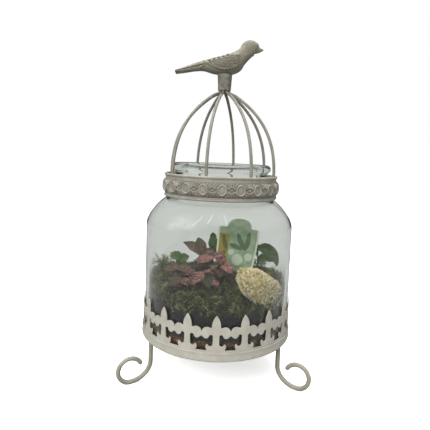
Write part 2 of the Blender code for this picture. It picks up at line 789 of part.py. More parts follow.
def make_sprigs(finish):
    """Thin arching sprigs at the left: each a fine stem with short side shoots."""
    rng = random.Random(11)
    made = []
    for number, (x, y, heading) in enumerate(SPRIGS):
        start = Vector((x, y, soil_height(x, y) / MM - SPRIG_DEPTH))
        top = moss_height(x, y) / MM + 11
        turn = math.radians(heading)
        lean = Vector((math.cos(turn), math.sin(turn), 0)) * 7
        peak = Vector((x, y, top)) + lean * 0.5
        end = Vector((x, y, top - 3)) + lean
        points = [start, Vector((x, y, top - 8)), peak, end]
        bm = bmesh.new()
        tube(bm, [p * MM for p in points], 0.5 * MM, 3, Vector((0.3, 1, 0)), 0.7)
        sprig = place(f"wispy_sprig_{number + 1}", bm, finish, 180)
        shoots = []
        for i in range(4):
            share = 0.2 + 0.2 * i
            base = points[1].lerp(points[2], share)
            way = Vector((rng.uniform(-1, 1), rng.uniform(-1, 1), rng.uniform(0.2, 0.9))).normalized()
            shoot = bmesh.new()
            tube(shoot, [base * MM, (base + way * 5) * MM], 0.45 * MM, 3, UP, 0.8)
            shoots.append(place(f"shoot {number} {i}", shoot, finish, 180))
        boolean(sprig, shoots, "UNION")
        made.append(sprig)
    return made


def tag_outline(grow):
    """Outline of the tag from its spike up: (across, height), grown for the slit it stands in."""
    spike = TAG_SPIKE / 2 + grow
    foot = soil_height(TAG_PLACE[0] / MM, TAG_PLACE[1] / MM) - TAG_DEPTH - grow
    right = [(spike * 0.4, foot), (spike, foot + 6 * MM), (spike, TAG_LOW - 4 * MM)]
    right += [(TAG_WIDE_LOW / 2, TAG_LOW), (TAG_WIDE / 2, TAG_SHOULDER)]
    tab = TAG_TAB / 2
    arch = TAG_SHOULDER + 1 * MM
    right.append((tab, arch))
    for degrees in (30, 60, 90):
        turn = math.radians(degrees)
        right.append((tab * math.cos(turn), arch + (TAG_TOP - arch) * math.sin(turn)))
    left = [(-u, z) for u, z in right if u > 0.01 * MM]
    return right + left[::-1]


def make_tag(name, grow, finish):
    bm = bmesh.new()
    half = TAG_THICK / 2 + grow
    sheet = [bm.verts.new((u, -half, z)) for u, z in tag_outline(grow)]
    face = bm.faces.new(sheet)
    made = bmesh.ops.extrude_face_region(bm, geom=[face], use_keep_orig=True)
    back = [item for item in made["geom"] if isinstance(item, bmesh.types.BMVert)]
    bmesh.ops.translate(bm, verts=back, vec=(0, 2 * half, 0))
    pivot = Matrix.Translation((TAG_PLACE[0], TAG_PLACE[1], TAG_LOW))
    lean = pivot @ Matrix.Rotation(TAG_TILT, 4, "Y") @ pivot.inverted()
    bmesh.ops.transform(bm, matrix=lean @ Matrix.Translation((*TAG_PLACE, 0)), verts=bm.verts[:])
    return place(name, bm, finish, 30)


def open_soil(layers, finish):
    """Cuts the plain holes the stems stand in, and the tag's slit, into the soil and the moss."""
    patterns = {**POLKA_STEMS, **GREEN_STEMS}
    for layer in layers:
        cutters = [make_tag("slit", GAP, finish)]
        for name, (entry, head, thick, _) in patterns.items():
            hole = bmesh.new()
            path = stem_path(entry, head, STEM_DEPTH + STEM_ROOM / MM)
            tube(hole, path, thick * MM + STEM_ROOM, 6, Vector((0, 1, 0)))
            cutters.append(place(f"hole {name}", hole, finish))
        for x, y, _ in SPRIGS:
            low = Vector((x, y, soil_height(x, y) / MM - SPRIG_DEPTH)) * MM - UP * STEM_ROOM
            hole = bmesh.new()
            tube(hole, [low, low + UP * 2 * MOSS_THICK], 1.2 * MM, 6, Vector((0, 1, 0)))
            cutters.append(place(f"hole {x} {y}", hole, finish))
        boolean(layer, cutters, "DIFFERENCE", "EXACT")


def main():
    clear_scene()
    paint = material("cream painted steel", (0.72, 0.68, 0.6), 0.45)
    glass = material("jar glass", (0.8, 0.87, 0.85), 0.05, alpha=0.3)
    grit = material("brown grit", (0.14, 0.09, 0.05), 0.9)
    earth = material("potting soil", (0.035, 0.03, 0.028), 0.95)
    moss = material("green moss", (0.1, 0.13, 0.04), 0.9)
    lichen = material("cream reindeer moss", (0.78, 0.68, 0.48), 0.85)
    polka = material("pink spotted leaf", (0.7, 0.22, 0.28), 0.5)
    green = material("green leaf", (0.06, 0.16, 0.04), 0.35)
    wispy = material("wispy green", (0.13, 0.2, 0.06), 0.6)
    plastic = material("printed tag plastic", (0.55, 0.65, 0.55), 0.4)

    pieces = [make_tray(paint), make_band(paint)]
    pieces += [make_leg(i + 1, degrees, paint) for i, degrees in enumerate(LEG_ANGLES)]
    pieces += [make_jar(glass), make_collar(paint)]
    pieces += [make_wire(i, paint) for i in range(WIRES)]
    pieces += [make_ferrule(paint), make_bird(paint)]
    layers = [make_soil(earth), make_carpet(moss)]
    pieces += [make_grit(grit), *layers, make_reindeer_moss(lichen)]
    pieces += make_stems(POLKA_STEMS, polka) + make_stems(GREEN_STEMS, green) + make_sprigs(wispy)
    pieces.append(make_tag("plant_tag", 0, plastic))
    open_soil(layers, earth)

    axis = bpy.data.objects.new("terrarium", None)
    bpy.context.scene.collection.objects.link(axis)
    axis.location = (0, AXIS_Y, 0)
    for piece in pieces:
        piece.parent = axis


main()
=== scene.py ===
"""The looks of a terrarium: a planted glass jar in a cream stand, under a birdcage lid.

Every piece stands where its CAD node stands. Lengths below are metres: a number times MM is millimetres.
-Y is the front, and the jar's axis is the tray's middle.
"""

import math
import random

import bmesh
import bpy
from mathutils import Matrix, Vector, noise


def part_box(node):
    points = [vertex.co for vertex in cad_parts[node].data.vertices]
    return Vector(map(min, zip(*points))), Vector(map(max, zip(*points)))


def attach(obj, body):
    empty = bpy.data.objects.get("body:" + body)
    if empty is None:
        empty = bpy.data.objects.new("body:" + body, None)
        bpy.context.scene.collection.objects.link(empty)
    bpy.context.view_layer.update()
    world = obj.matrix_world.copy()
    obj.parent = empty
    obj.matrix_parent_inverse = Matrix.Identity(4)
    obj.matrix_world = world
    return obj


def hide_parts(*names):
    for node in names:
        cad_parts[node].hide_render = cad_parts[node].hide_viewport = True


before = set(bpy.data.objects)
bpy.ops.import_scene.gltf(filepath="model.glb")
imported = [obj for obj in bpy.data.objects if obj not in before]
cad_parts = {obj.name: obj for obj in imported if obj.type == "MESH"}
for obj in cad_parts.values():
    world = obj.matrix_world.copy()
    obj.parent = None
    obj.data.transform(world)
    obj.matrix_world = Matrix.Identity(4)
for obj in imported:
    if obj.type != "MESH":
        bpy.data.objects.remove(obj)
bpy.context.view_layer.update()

MM = 0.001
UP = Vector((0, 0, 1))
TRAY_LOW, TRAY_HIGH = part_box("stand_tray")
AXIS = Vector((0, (TRAY_LOW.y + TRAY_HIGH.y) / 2, 0))

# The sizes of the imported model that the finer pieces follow
TRAY_Z = TRAY_LOW.z
TRAY_R = TRAY_HIGH.x
TRAY_TOP = TRAY_HIGH.z
BAND_R = 71.3 * MM
BAND_THICK = 0.9 * MM
BAND_PHASE = math.radians(0.8)
FLEURS = 18
FLEUR_FOOT = 38.9 * MM
FLEUR_TIP = 77.7 * MM
LEG_WIRE = 2.1 * MM
LEG_R = 68 * MM
LEG_STRAIGHT_Z = 18 * MM
SCROLL_R = 11 * MM
SCROLL_CENTRE_R = 87.5 * MM
JAR_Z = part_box("jar")[0].z
JAR_R = 70 * MM
JAR_WALL = 3.2 * MM
SHOULDER_Z = 143 * MM
NECK_R = 43.6 * MM
NECK_Z = 176 * MM
LIP_Z = 197.4 * MM
LIP_R = 4 * MM
COLLAR_Z = 169.9 * MM
COLLAR_TOP = 191.5 * MM
COLLAR_R = 54.5 * MM
COLLAR_BORE = 52.4 * MM
OVALS = 21
OVAL_Z = 180 * MM
BELT_HALF = 6.2 * MM
OVAL_PHASE = math.radians(1.4)
WIRES = 8
WIRE = 1.4 * MM
WIRE_R = 50.7 * MM
WIRE_PHASE = math.radians(30.5)
FERRULE_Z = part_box("lid_ferrule")[0].z
FILL_R = 66.5 * MM
GRIT_TOP = 53 * MM
MOSS_THICK = 8
CUSHION_CENTRE = Vector((40, -38, 91)) * MM
CUSHION_SIZE = Vector((22, 20, 15)) * MM
CUSHION_FALL = 0.5


# Nodes and finishes

def add(tree, kind, links=None, **settings):
    """Adds a node with its settings; links gives each input a socket to read or a plain value."""
    made = tree.nodes.new(kind)
    for key, value in settings.items():
        setattr(made, key, value)
    for name, source in (links or {}).items():
        if isinstance(source, bpy.types.NodeSocket):
            tree.links.new(source, made.inputs[name])
        else:
            made.inputs[name].default_value = source
    return made


def linear(code):
    """A hex sRGB colour as linear RGBA."""
    channels = [int(code[i:i + 2], 16) / 255 for i in (1, 3, 5)]
    return (*[c / 12.92 if c <= 0.04045 else ((c + 0.055) / 1.055) ** 2.4 for c in channels], 1)


def new_finish(name, **constants):
    """A material with constants on its shader: returns it, its tree, the shader and Object coordinates."""
    made = bpy.data.materials.new(name)
    made.use_nodes = True
    tree = made.node_tree
    shader = tree.nodes["Principled BSDF"]
    for key, value in constants.items():
        shader.inputs[key.replace("_", " ")].default_value = value
    return made, tree, shader, add(tree, "ShaderNodeTexCoord").outputs["Object"]


def blend(tree, share, first, second):
    """A colour between two others; each is a socket or a hex colour."""
    colours = [linear(c) if isinstance(c, str) else c for c in (first, second)]
    mix = add(tree, "ShaderNodeMix", {"Factor": share}, data_type="RGBA")
    for name, colour in zip((6, 7), colours):
        if isinstance(colour, bpy.types.NodeSocket):
            tree.links.new(colour, mix.inputs[name])
        else:
            mix.inputs[name].default_value = colour
    return mix.outputs[2]


def ramp(tree, value, low, high, from_value=0.0, to_value=1.0):
    """A value stretched from low..high onto from_value..to_value, held at the ends."""
    links = {"Value": value, "From Min": low, "From Max": high, "To Min": from_value, "To Max": to_value}
    return add(tree, "ShaderNodeMapRange", links).outputs["Result"]


def grain(tree, where, size, detail=3.0, rough=0.55):
    """Noise whose lumps are size metres across."""
    links = {"Vector": where, "Scale": 1 / size, "Detail": detail, "Roughness": rough}
    return add(tree, "ShaderNodeTexNoise", links).outputs["Fac"]


def calc(tree, first, second, operation="ADD"):
    """One maths node: a sum, unless another operation is given."""
    return add(tree, "ShaderNodeMath", {0: first, 1: second}, operation=operation).outputs[0]


def stored(tree, name):
    """A number that the mesh stores for each point."""
    return add(tree, "ShaderNodeAttribute", attribute_name=name).outputs["Fac"]


def relief(tree, shader, height, depth, strength=1.0):
    """Bump of the given depth in metres."""
    bump = add(tree, "ShaderNodeBump", {"Height": height, "Distance": depth, "Strength": strength})
    tree.links.new(bump.outputs["Normal"], shader.inputs["Normal"])


def aged_enamel(name, paint, pale, wash_and_shade_colour, wear, rough=0.5):
    """Sprayed enamel on metal: satin and mottled, with worn flecks of a darker grey-brown, and the same
    colour where the mesh's mask says: painted shade in grooves and low places, plain patches elsewhere.

    wear is how far flecks show the darker colour, and rough is how strong the spray's texture stands.
    """
    made, tree, shader, where = new_finish(name, IOR=1.5)
    shade_and_patch_mask = stored(tree, "shade_and_patch_mask")
    mottle = grain(tree, where, 7 * MM, 4)
    fleck = grain(tree, where, 1.1 * MM, 2, 0.7)
    colour = blend(tree, ramp(tree, mottle, 0.4, 0.65), paint, pale)
    # The darker colour goes on worn flecks, and on the mesh's mask, which is mostly painted shade in grooves
    # and low places.
    wear_and_painted_shade = calc(tree, ramp(tree, fleck, 0.58, 0.74, 0, wear), shade_and_patch_mask, "MAXIMUM")
    colour = blend(tree, wear_and_painted_shade, colour, wash_and_shade_colour)
    tree.links.new(colour, shader.inputs["Base Color"])
    tree.links.new(ramp(tree, mottle, 0.3, 0.7, 0.38, 0.52), shader.inputs["Roughness"])
    relief(tree, shader, calc(tree, fleck, mottle), 0.06 * MM, rough)
    return made


def moulded_glass():
    """Moulded soda glass: clear, faintly wavy, green where it is thick, and it lets lamps through."""
    made, tree, shader, where = new_finish(
        "moulded_soda_glass", Base_Color=linear("#f6f8f7"), IOR=1.5, Roughness=0.0, Transmission_Weight=1.0
    )
    relief(tree, shader, grain(tree, where, 28 * MM, 1), 0.3 * MM, 0.6)
    lamp = add(tree, "ShaderNodeLightPath").outputs["Is Shadow Ray"]
    clear = add(tree, "ShaderNodeBsdfTransparent", {"Color": linear("#f1f5f3")})
    mix = add(tree, "ShaderNodeMixShader", {0: lamp, 1: shader.outputs[0], 2: clear.outputs[0]})
    depth = add(tree, "ShaderNodeVolumeAbsorption", {"Color": linear("#98b5a5"), "Density": 18.0})
    end = tree.nodes["Material Output"]
    tree.links.new(mix.outputs[0], end.inputs["Surface"])
    tree.links.new(depth.outputs[0], end.inputs["Volume"])
    return made


def crumbled(name, colours, lump, shade_share=0.6):
    """Loose stuff in a dark, a middle and a light colour, patched with a fourth; each grain has its shade."""
    made, tree, shader, where = new_finish(name, Roughness=0.9)
    dark, middle, light, patch = colours
    shade = stored(tree, "shade")
    lumps = grain(tree, where, lump, 5, 0.65)
    mixed = add(tree, "ShaderNodeMix", {"Factor": shade_share, "A": lumps, "B": shade}).outputs[0]
    # Low values take the dark colour; where the mesh's shade is kept low, on the moss sheet, the lichen core
    # and its stalks, that is painted shade.
    colour = blend(tree, ramp(tree, mixed, 0.3, 0.48), dark, middle)
    colour = blend(tree, ramp(tree, mixed, 0.5, 0.66), colour, light)
    patches = calc(tree, ramp(tree, grain(tree, where, lump * 1.6, 3), 0.5, 0.58), mixed, "MULTIPLY")
    colour = blend(tree, patches, colour, patch)
    tree.links.new(colour, shader.inputs["Base Color"])
    relief(tree, shader, grain(tree, where, lump / 3, 3), 0.6 * MM)
    return made


def leaf_places(tree):
    """Across a blade from -1 to 1 as a size, and along it from 0 to 1, from its own map."""
    place = add(tree, "ShaderNodeUVMap", uv_map="blade").outputs["UV"]
    split = add(tree, "ShaderNodeSeparateXYZ", {"Vector": place})
    across = add(tree, "ShaderNodeMath", {0: split.outputs["X"]}, operation="ABSOLUTE").outputs[0]
    return across, split.outputs["Y"]


def vein_lines(tree, across, along, pairs):
    """1 on the midrib and on the slanting side veins, falling to 0 beside them."""
    slant = calc(tree, along, calc(tree, across, 0.34, "MULTIPLY"), "SUBTRACT")
    turns = calc(tree, slant, pairs * math.tau, "MULTIPLY")
    wave = add(tree, "ShaderNodeMath", {0: turns}, operation="COSINE")
    side = ramp(tree, wave.outputs[0], 0.82, 1.0)
    middle = ramp(tree, across, 0.03, 0.1, 1.0, 0.0)
    return calc(tree, side, middle, "MAXIMUM")


def polka_leaf():
    """A polka-dot plant's leaf: pink splashes over dark green, green veins, a satin skin."""
    made, tree, shader, where = new_finish("polka_dot_leaf", Roughness=0.45, Specular_IOR_Level=0.35)
    across, along = leaf_places(tree)
    shade = stored(tree, "shade")
    patch = add(tree, "ShaderNodeTexVoronoi", {"Vector": where, "Scale": 1 / (1.1 * MM)}).outputs["Distance"]
    mottle = grain(tree, where, 3 * MM, 3, 0.7)
    less = calc(tree, calc(tree, patch, mottle), calc(tree, shade, 0.3, "MULTIPLY"))
    spots = ramp(tree, less, 0.9, 1.1)
    rim = ramp(tree, across, 0.72, 1.0, 0, 0.55)
    green = blend(tree, shade, "#4b4231", "#333324")
    pink = blend(tree, shade, "#e0808c", "#6b343b")
    colour = blend(tree, calc(tree, spots, rim, "MAXIMUM"), pink, green)
    veins = vein_lines(tree, across, along, 6)
    colour = blend(tree, calc(tree, veins, 0.65, "MULTIPLY"), colour, "#454a32")
    tree.links.new(colour, shader.inputs["Base Color"])
    relief(tree, shader, veins, -0.25 * MM)
    return made


def green_leaf(name, dark, light, roughness):
    """A green leaf with a waxy skin, paler along its veins."""
    made, tree, shader, where = new_finish(name, Roughness=roughness, Specular_IOR_Level=0.5)
    across, along = leaf_places(tree)
    shade = stored(tree, "shade")
    tone = calc(tree, grain(tree, where, 5 * MM, 3), shade)
    colour = blend(tree, ramp(tree, tone, 0.6, 1.4), dark, light)
    veins = vein_lines(tree, across, along, 5)
    colour = blend(tree, calc(tree, veins, 0.35, "MULTIPLY"), colour, light)
    tree.links.new(colour, shader.inputs["Base Color"])
    relief(tree, shader, veins, -0.2 * MM)
    return made


def printed_card():
    """Printed plastic card: a pale border, a grey-green ground, an ochre block, leaf shapes and discs.

    The marks are (across, up, half width, half height, turn in degrees); equal halves make a disc.
    """
    made, tree, shader, _ = new_finish("printed_label_card", Roughness=0.35)
    place = add(tree, "ShaderNodeUVMap", uv_map="blade").outputs["UV"]
    split = add(tree, "ShaderNodeSeparateXYZ", {"Vector": place}).outputs
    rim = stored(tree, "shade")
    cloud = add(tree, "ShaderNodeTexNoise", {"Vector": place, "Scale": 2.2, "Detail": 2.0}).outputs["Fac"]
    colour = blend(tree, ramp(tree, cloud, 0.35, 0.65), "#839a7c", "#a9b99b")
    left = ramp(tree, split["X"], -0.42, -0.38, 1, 0)
    below = ramp(tree, split["Y"], 1.5, 1.56, 1, 0)
    colour = blend(tree, calc(tree, left, below, "MULTIPLY"), colour, "#a08a3c")
    marks = ((-0.6, 1.15, 0.11, 0.34, 20), (-0.66, 0.55, 0.1, 0.3, -25), (0.2, 1.25, 0.13, 0.42, 35),
             (0.5, 1.35, 0.12, 0.4, -5), (-0.05, 1.05, 0.12, 0.34, 75), (0.1, 0.42, 0.28, 0.28, 0),
             (0.62, 0.62, 0.2, 0.2, 0), (-0.25, 0.75, 0.15, 0.15, 0))
    for x, y, wide, tall, turn in marks:
        placed = {"Location": (x, y, 0), "Rotation": (0, 0, math.radians(turn)), "Scale": (wide, tall, 1)}
        spot = add(tree, "ShaderNodeMapping", {"Vector": place, **placed}, vector_type="TEXTURE").outputs[0]
        reach = add(tree, "ShaderNodeVectorMath", {0: spot}, operation="LENGTH").outputs["Value"]
        ink = "#d6dccb" if wide == tall else "#44583f"
        colour = blend(tree, ramp(tree, reach, 0.85, 1.1, 0.85, 0), colour, ink)
    colour = blend(tree, ramp(tree, rim, 0.9, 0.92), colour, "#dcdfce")
    tree.links.new(colour, shader.inputs["Base Color"])
    return made


# Shapes

class Shape:
    """Points and faces, and for each point its place on its blade and its shade."""

    def __init__(self):
        self.points = []
        self.faces = []
        self.places = []
        self.shades = []

    def grid(self, rows, places=None, shade=0.5, round_on=False, caps=False):
        """Faces between rows of equally many points; round_on closes each row on itself."""
        start = len(self.points)
        wide = len(rows[0])
        for i, row in enumerate(rows):
            for j, point in enumerate(row):
                self.points.append(tuple(point))
                self.places.append(places[i][j] if places else (0.0, i / max(1, len(rows) - 1)))
                self.shades.append(shade[i][j] if isinstance(shade, list) else shade)
        for i in range(len(rows) - 1):
            for j in range(wide if round_on else wide - 1):
                n = (j + 1) % wide
                low = start + i * wide
                self.faces.append((low + j, low + n, low + wide + n, low + wide + j))
        if caps:
            last = start + (len(rows) - 1) * wide
            self.faces.append(tuple(range(start + wide - 1, start - 1, -1)))
            self.faces.append(tuple(range(last, last + wide)))

    def mesh(self, name):
        made = bpy.data.meshes.new(name)
        made.from_pydata(self.points, [], self.faces)
        made.attributes.new("shade", "FLOAT", "POINT").data.foreach_set("value", self.shades)
        loops = [0] * len(made.loops)
        made.loops.foreach_get("vertex_index", loops)
        made.uv_layers.new(name="blade").data.foreach_set("uv", [c for i in loops for c in self.places[i]])
        return made


def show(name, mesh, finish, sharp=40, merge=True):
    """An object of the mesh, put on the jar's axis, cleaned, with its faces outwards and shaded smooth."""
    bm = bmesh.new()
    bm.from_mesh(mesh)
    if merge:
        bmesh.ops.remove_doubles(bm, verts=bm.verts[:], dist=0.002 * MM)
    bmesh.ops.recalc_face_normals(bm, faces=bm.faces[:])
    bmesh.ops.translate(bm, verts=bm.verts[:], vec=AXIS)
    bm.to_mesh(mesh)
    bm.free()
    mesh.materials.clear()
    mesh.materials.append(finish)
    mesh.shade_smooth()
    mesh.set_sharp_from_angle(angle=math.radians(sharp))
    made = bpy.data.objects.new(name, mesh)
    bpy.context.scene.collection.objects.link(made)
    return made


def stand_for(piece, slot, *nodes):
    """The piece rides on the object and is shown in place of these nodes."""
    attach(piece, "root")
    if nodes:
        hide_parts(*nodes)
    return piece


def apply_modifiers(item):
    """Turns the object's modifiers into its mesh."""
    bpy.context.view_layer.update()
    mesh = bpy.data.meshes.new_from_object(item.evaluated_get(bpy.context.evaluated_depsgraph_get()))
    item.modifiers.clear()
    item.data = mesh


def grown(mesh, tree, **inputs):
    """The mesh after a geometry tree has run on it with the named inputs."""
    item = bpy.data.objects.new("carrier", mesh)
    bpy.context.scene.collection.objects.link(item)
    step = item.modifiers.new(tree.name, "NODES")
    step.node_group = tree
    for socket in tree.interface.items_tree:
        if socket.in_out == "INPUT" and socket.name in inputs:
            step[socket.identifier] = inputs[socket.name]
    apply_modifiers(item)
    made = item.data
    bpy.data.objects.remove(item)
    return made


def new_tree(name, inputs):
    """An empty geometry tree with the named inputs; returns it, its input sockets by name, and its end."""
    tree = bpy.data.node_groups.new(name, "GeometryNodeTree")
    tree.interface.new_socket("Geometry", in_out="OUTPUT", socket_type="NodeSocketGeometry")
    for label, kind in {"Geometry": "Geometry", **inputs}.items():
        tree.interface.new_socket(label, in_out="INPUT", socket_type="NodeSocket" + kind)
    start = tree.nodes.new("NodeGroupInput")
    return tree, start.outputs, tree.nodes.new("NodeGroupOutput")


def round_tree():
    """Repeats a tile round the upright axis, and joins the tiles."""
    tree, given, end = new_tree("repeat round the axis", {"Count": "Int", "Finish": "Material"})
    points = add(tree, "GeometryNodePoints", {"Count": given["Count"]})
    index = add(tree, "GeometryNodeInputIndex").outputs[0]
    share = calc(tree, index, given["Count"], "DIVIDE")
    angle = calc(tree, share, math.tau, "MULTIPLY")
    upright = add(tree, "ShaderNodeCombineXYZ", {"Z": angle}).outputs[0]
    turn = add(tree, "FunctionNodeEulerToRotation", {0: upright})
    tiles = add(tree, "GeometryNodeInstanceOnPoints",
                {"Points": points.outputs[0], "Instance": given["Geometry"], "Rotation": turn.outputs[0]})
    whole = add(tree, "GeometryNodeRealizeInstances", {"Geometry": tiles.outputs[0]})
    fused = add(tree, "GeometryNodeMergeByDistance", {"Geometry": whole.outputs[0], "Distance": 0.01 * MM})
    painted = add(tree, "GeometryNodeSetMaterial",
                  {"Geometry": fused.outputs[0], "Material": given["Finish"]})
    tree.links.new(painted.outputs[0], end.inputs[0])
    return tree


def scatter_tree():
    """Scatters bits over a surface: each leans, turns and scales by chance, and stays inside the glass."""
    tree, given, end = new_tree("scatter bits inside the glass", {
        "Bits": "Collection", "Density": "Float", "Seed": "Int", "Smallest": "Float", "Largest": "Float",
        "Lean": "Float", "Reach": "Float", "Finish": "Material",
    })
    spots = add(tree, "GeometryNodeDistributePointsOnFaces",
                {"Mesh": given["Geometry"], "Density": given["Density"], "Seed": given["Seed"]})
    bits = add(tree, "GeometryNodeCollectionInfo",
               {"Collection": given["Bits"], "Separate Children": True, "Reset Children": True})
    lean = add(tree, "ShaderNodeCombineXYZ", {
        "X": given["Lean"], "Y": given["Lean"], "Z": math.pi,
    }).outputs[0]
    less = add(tree, "ShaderNodeVectorMath", {0: lean, "Scale": -1.0}, operation="SCALE").outputs[0]
    range_of_tilt = {"Min": less, "Max": lean, "Seed": 3}
    tilt = add(tree, "FunctionNodeRandomValue", range_of_tilt, data_type="FLOAT_VECTOR")
    turn = add(tree, "FunctionNodeEulerToRotation", {0: tilt.outputs[0]})
    both_turns = {"Rotation": spots.outputs["Rotation"], "Rotate By": turn.outputs[0]}
    stood = add(tree, "FunctionNodeRotateRotation", both_turns, rotation_space="LOCAL")
    size = add(tree, "FunctionNodeRandomValue", {2: given["Smallest"], 3: given["Largest"], "Seed": 4})
    put = add(tree, "GeometryNodeInstanceOnPoints", {
        "Points": spots.outputs["Points"], "Instance": bits.outputs[0], "Pick Instance": True,
        "Rotation": stood.outputs[0], "Scale": size.outputs[1],
    })
    chance = add(tree, "FunctionNodeRandomValue", {2: 0.0, 3: 1.0, "Seed": 5})
    toned = add(tree, "GeometryNodeStoreNamedAttribute",
                {"Geometry": put.outputs[0], "Name": "tone", "Value": chance.outputs[1]}, domain="INSTANCE")
    whole = add(tree, "GeometryNodeRealizeInstances", {"Geometry": toned.outputs[0]})
    place = add(tree, "GeometryNodeInputPosition").outputs[0]
    flat = add(tree, "ShaderNodeVectorMath", {0: place, 1: (1, 1, 0)}, operation="MULTIPLY").outputs[0]
    from_axis = add(tree, "ShaderNodeVectorMath", {0: flat}, operation="LENGTH").outputs["Value"]
    limit = calc(tree, 1.0, calc(tree, given["Reach"], from_axis, "DIVIDE"), "MINIMUM")
    factors = add(tree, "ShaderNodeCombineXYZ", {"X": limit, "Y": limit, "Z": 1.0}).outputs[0]
    kept = add(tree, "ShaderNodeVectorMath", {0: place, 1: factors}, operation="MULTIPLY").outputs[0]
    held = add(tree, "GeometryNodeSetPosition", {"Geometry": whole.outputs[0], "Position": kept})
    painted = add(tree, "GeometryNodeSetMaterial",
                  {"Geometry": held.outputs[0], "Material": given["Finish"]})
    tree.links.new(painted.outputs[0], end.inputs[0])
    return tree


def bezier(start, start_pull, end_pull, end, count):
    """Points from start up to, but not including, end."""
    points = []
    for i in range(count):
        t = i / count
        weights = ((1 - t) ** 3, 3 * (1 - t) ** 2 * t, 3 * (1 - t) * t * t, t**3)
        points.append(tuple(sum(w * p[k] for w, p in zip(weights, (start, start_pull, end_pull, end)))
                            for k in range(len(start))))
    return points


def arc(centre, radius, start, end, count):
    """Points on a circle from one angle to the other, in degrees, both ends included."""
    angles = [math.radians(start + (end - start) * i / count) for i in range(count + 1)]
    return [(centre[0] + radius * math.cos(a), centre[1] + radius * math.sin(a)) for a in angles]


def radial(angle, r, z):
    """A point at an angle from the front, positive to the right."""
    return Vector((r * math.sin(angle), -r * math.cos(angle), z))


def turned(profile, segments):
    """A (r, z) profile turned round the axis."""
    made = Shape()
    angles = [math.tau * k / segments for k in range(segments)]
    made.grid([[radial(angle, r, z) for angle in angles] for r, z in profile], round_on=True)
    return made


def tube(shape, points, radius, sides=8, tip=1.0, shade=0.5, side_on=Vector((0.3, 1, 0.1))):
    """A tube along the points; radius may be a list; tip scales the far end."""
    rows = []
    across = side_on
    for i, point in enumerate(points):
        along = (points[min(i + 1, len(points) - 1)] - points[max(i - 1, 0)]).normalized()
        across = (across - along * across.dot(along)).normalized()
        other = along.cross(across)
        wide = radius[i] if isinstance(radius, list) else radius * (1 + (tip - 1) * i / (len(points) - 1))
        turns = [math.tau * k / sides for k in range(sides)]
        rows.append([point + wide * (math.cos(a) * across + math.sin(a) * other) for a in turns])
    shape.grid(rows, shade=shade, round_on=True, caps=True)


def smooth_step(low, high, value):
    """0 at low and 1 at high, with soft ends; low may be the larger."""
    t = min(1, max(0, (value - low) / (high - low)))
    return t * t * (3 - 2 * t)


def set_attribute(mesh, name, values):
    """Stores one number for each point of the mesh."""
    mesh.attributes.new(name, "FLOAT", "POINT").data.foreach_set("value", values)


# The stand

def make_tray(finish):
    """Spun tray with a rolled rim and a soft lower corner."""
    wall = 0.8 * MM
    floor_top = TRAY_Z + 1.2 * MM
    profile = [(0.01 * MM, TRAY_Z), (TRAY_R - 6 * MM, TRAY_Z)]
    profile += arc((TRAY_R - 1.6 * MM, TRAY_Z + 1.6 * MM), 1.6 * MM, -90, 0, 6)
    profile += [(TRAY_R - 0.25 * MM, TRAY_Z + 3.6 * MM), (TRAY_R - 0.25 * MM, TRAY_TOP - 1.4 * MM)]
    profile += arc((TRAY_R - wall / 2, TRAY_TOP - wall / 2), wall / 2, 0, 180, 6)
    profile += [(TRAY_R - wall, floor_top + 0.4 * MM), (TRAY_R - wall - 0.4 * MM, floor_top)]
    profile.append((0.01 * MM, floor_top))
    tray = show("tray", turned(profile, 144).mesh("tray"), finish)
    return stand_for(tray, "cream_paint", "stand_tray")


def half_fleur():
    """Half of one fleur and of the opening beside it: (distance from its stem, height), in millimetres."""
    half = math.pi * BAND_R / FLEURS / MM
    outline = [(0, FLEUR_FOOT / MM), (half, FLEUR_FOOT / MM), (half, 47.3), (7.5, 47.3)]
    outline += bezier((7.5, 47.3), (8.0, 48.6), (9.0, 49.8), (8.7, 51), 3)
    outline += bezier((8.7, 51), (8.5, 52.2), (7.9, 52.6), (7.2, 53), 3)
    outline += arc((4.9, 53.0), 2.1, -8, -178, 8)
    outline += [(2.7, 55.4)]
    outline += arc((4.3, 59.4), 1.7, 182, 40, 6)
    outline += arc((8.5, 60.3), 2.6, 195, 320, 8)
    outline += [(half, 60.2), (half, 63.5)]
    outline += arc((7.8, 63.0), 4.6, 32, 122, 9)
    outline += bezier((3.7, 66.8), (4.2, 70.3), (2.8, 74.4), (0, FLEUR_TIP / MM), 7)
    outline.append((0, FLEUR_TIP / MM))
    return outline


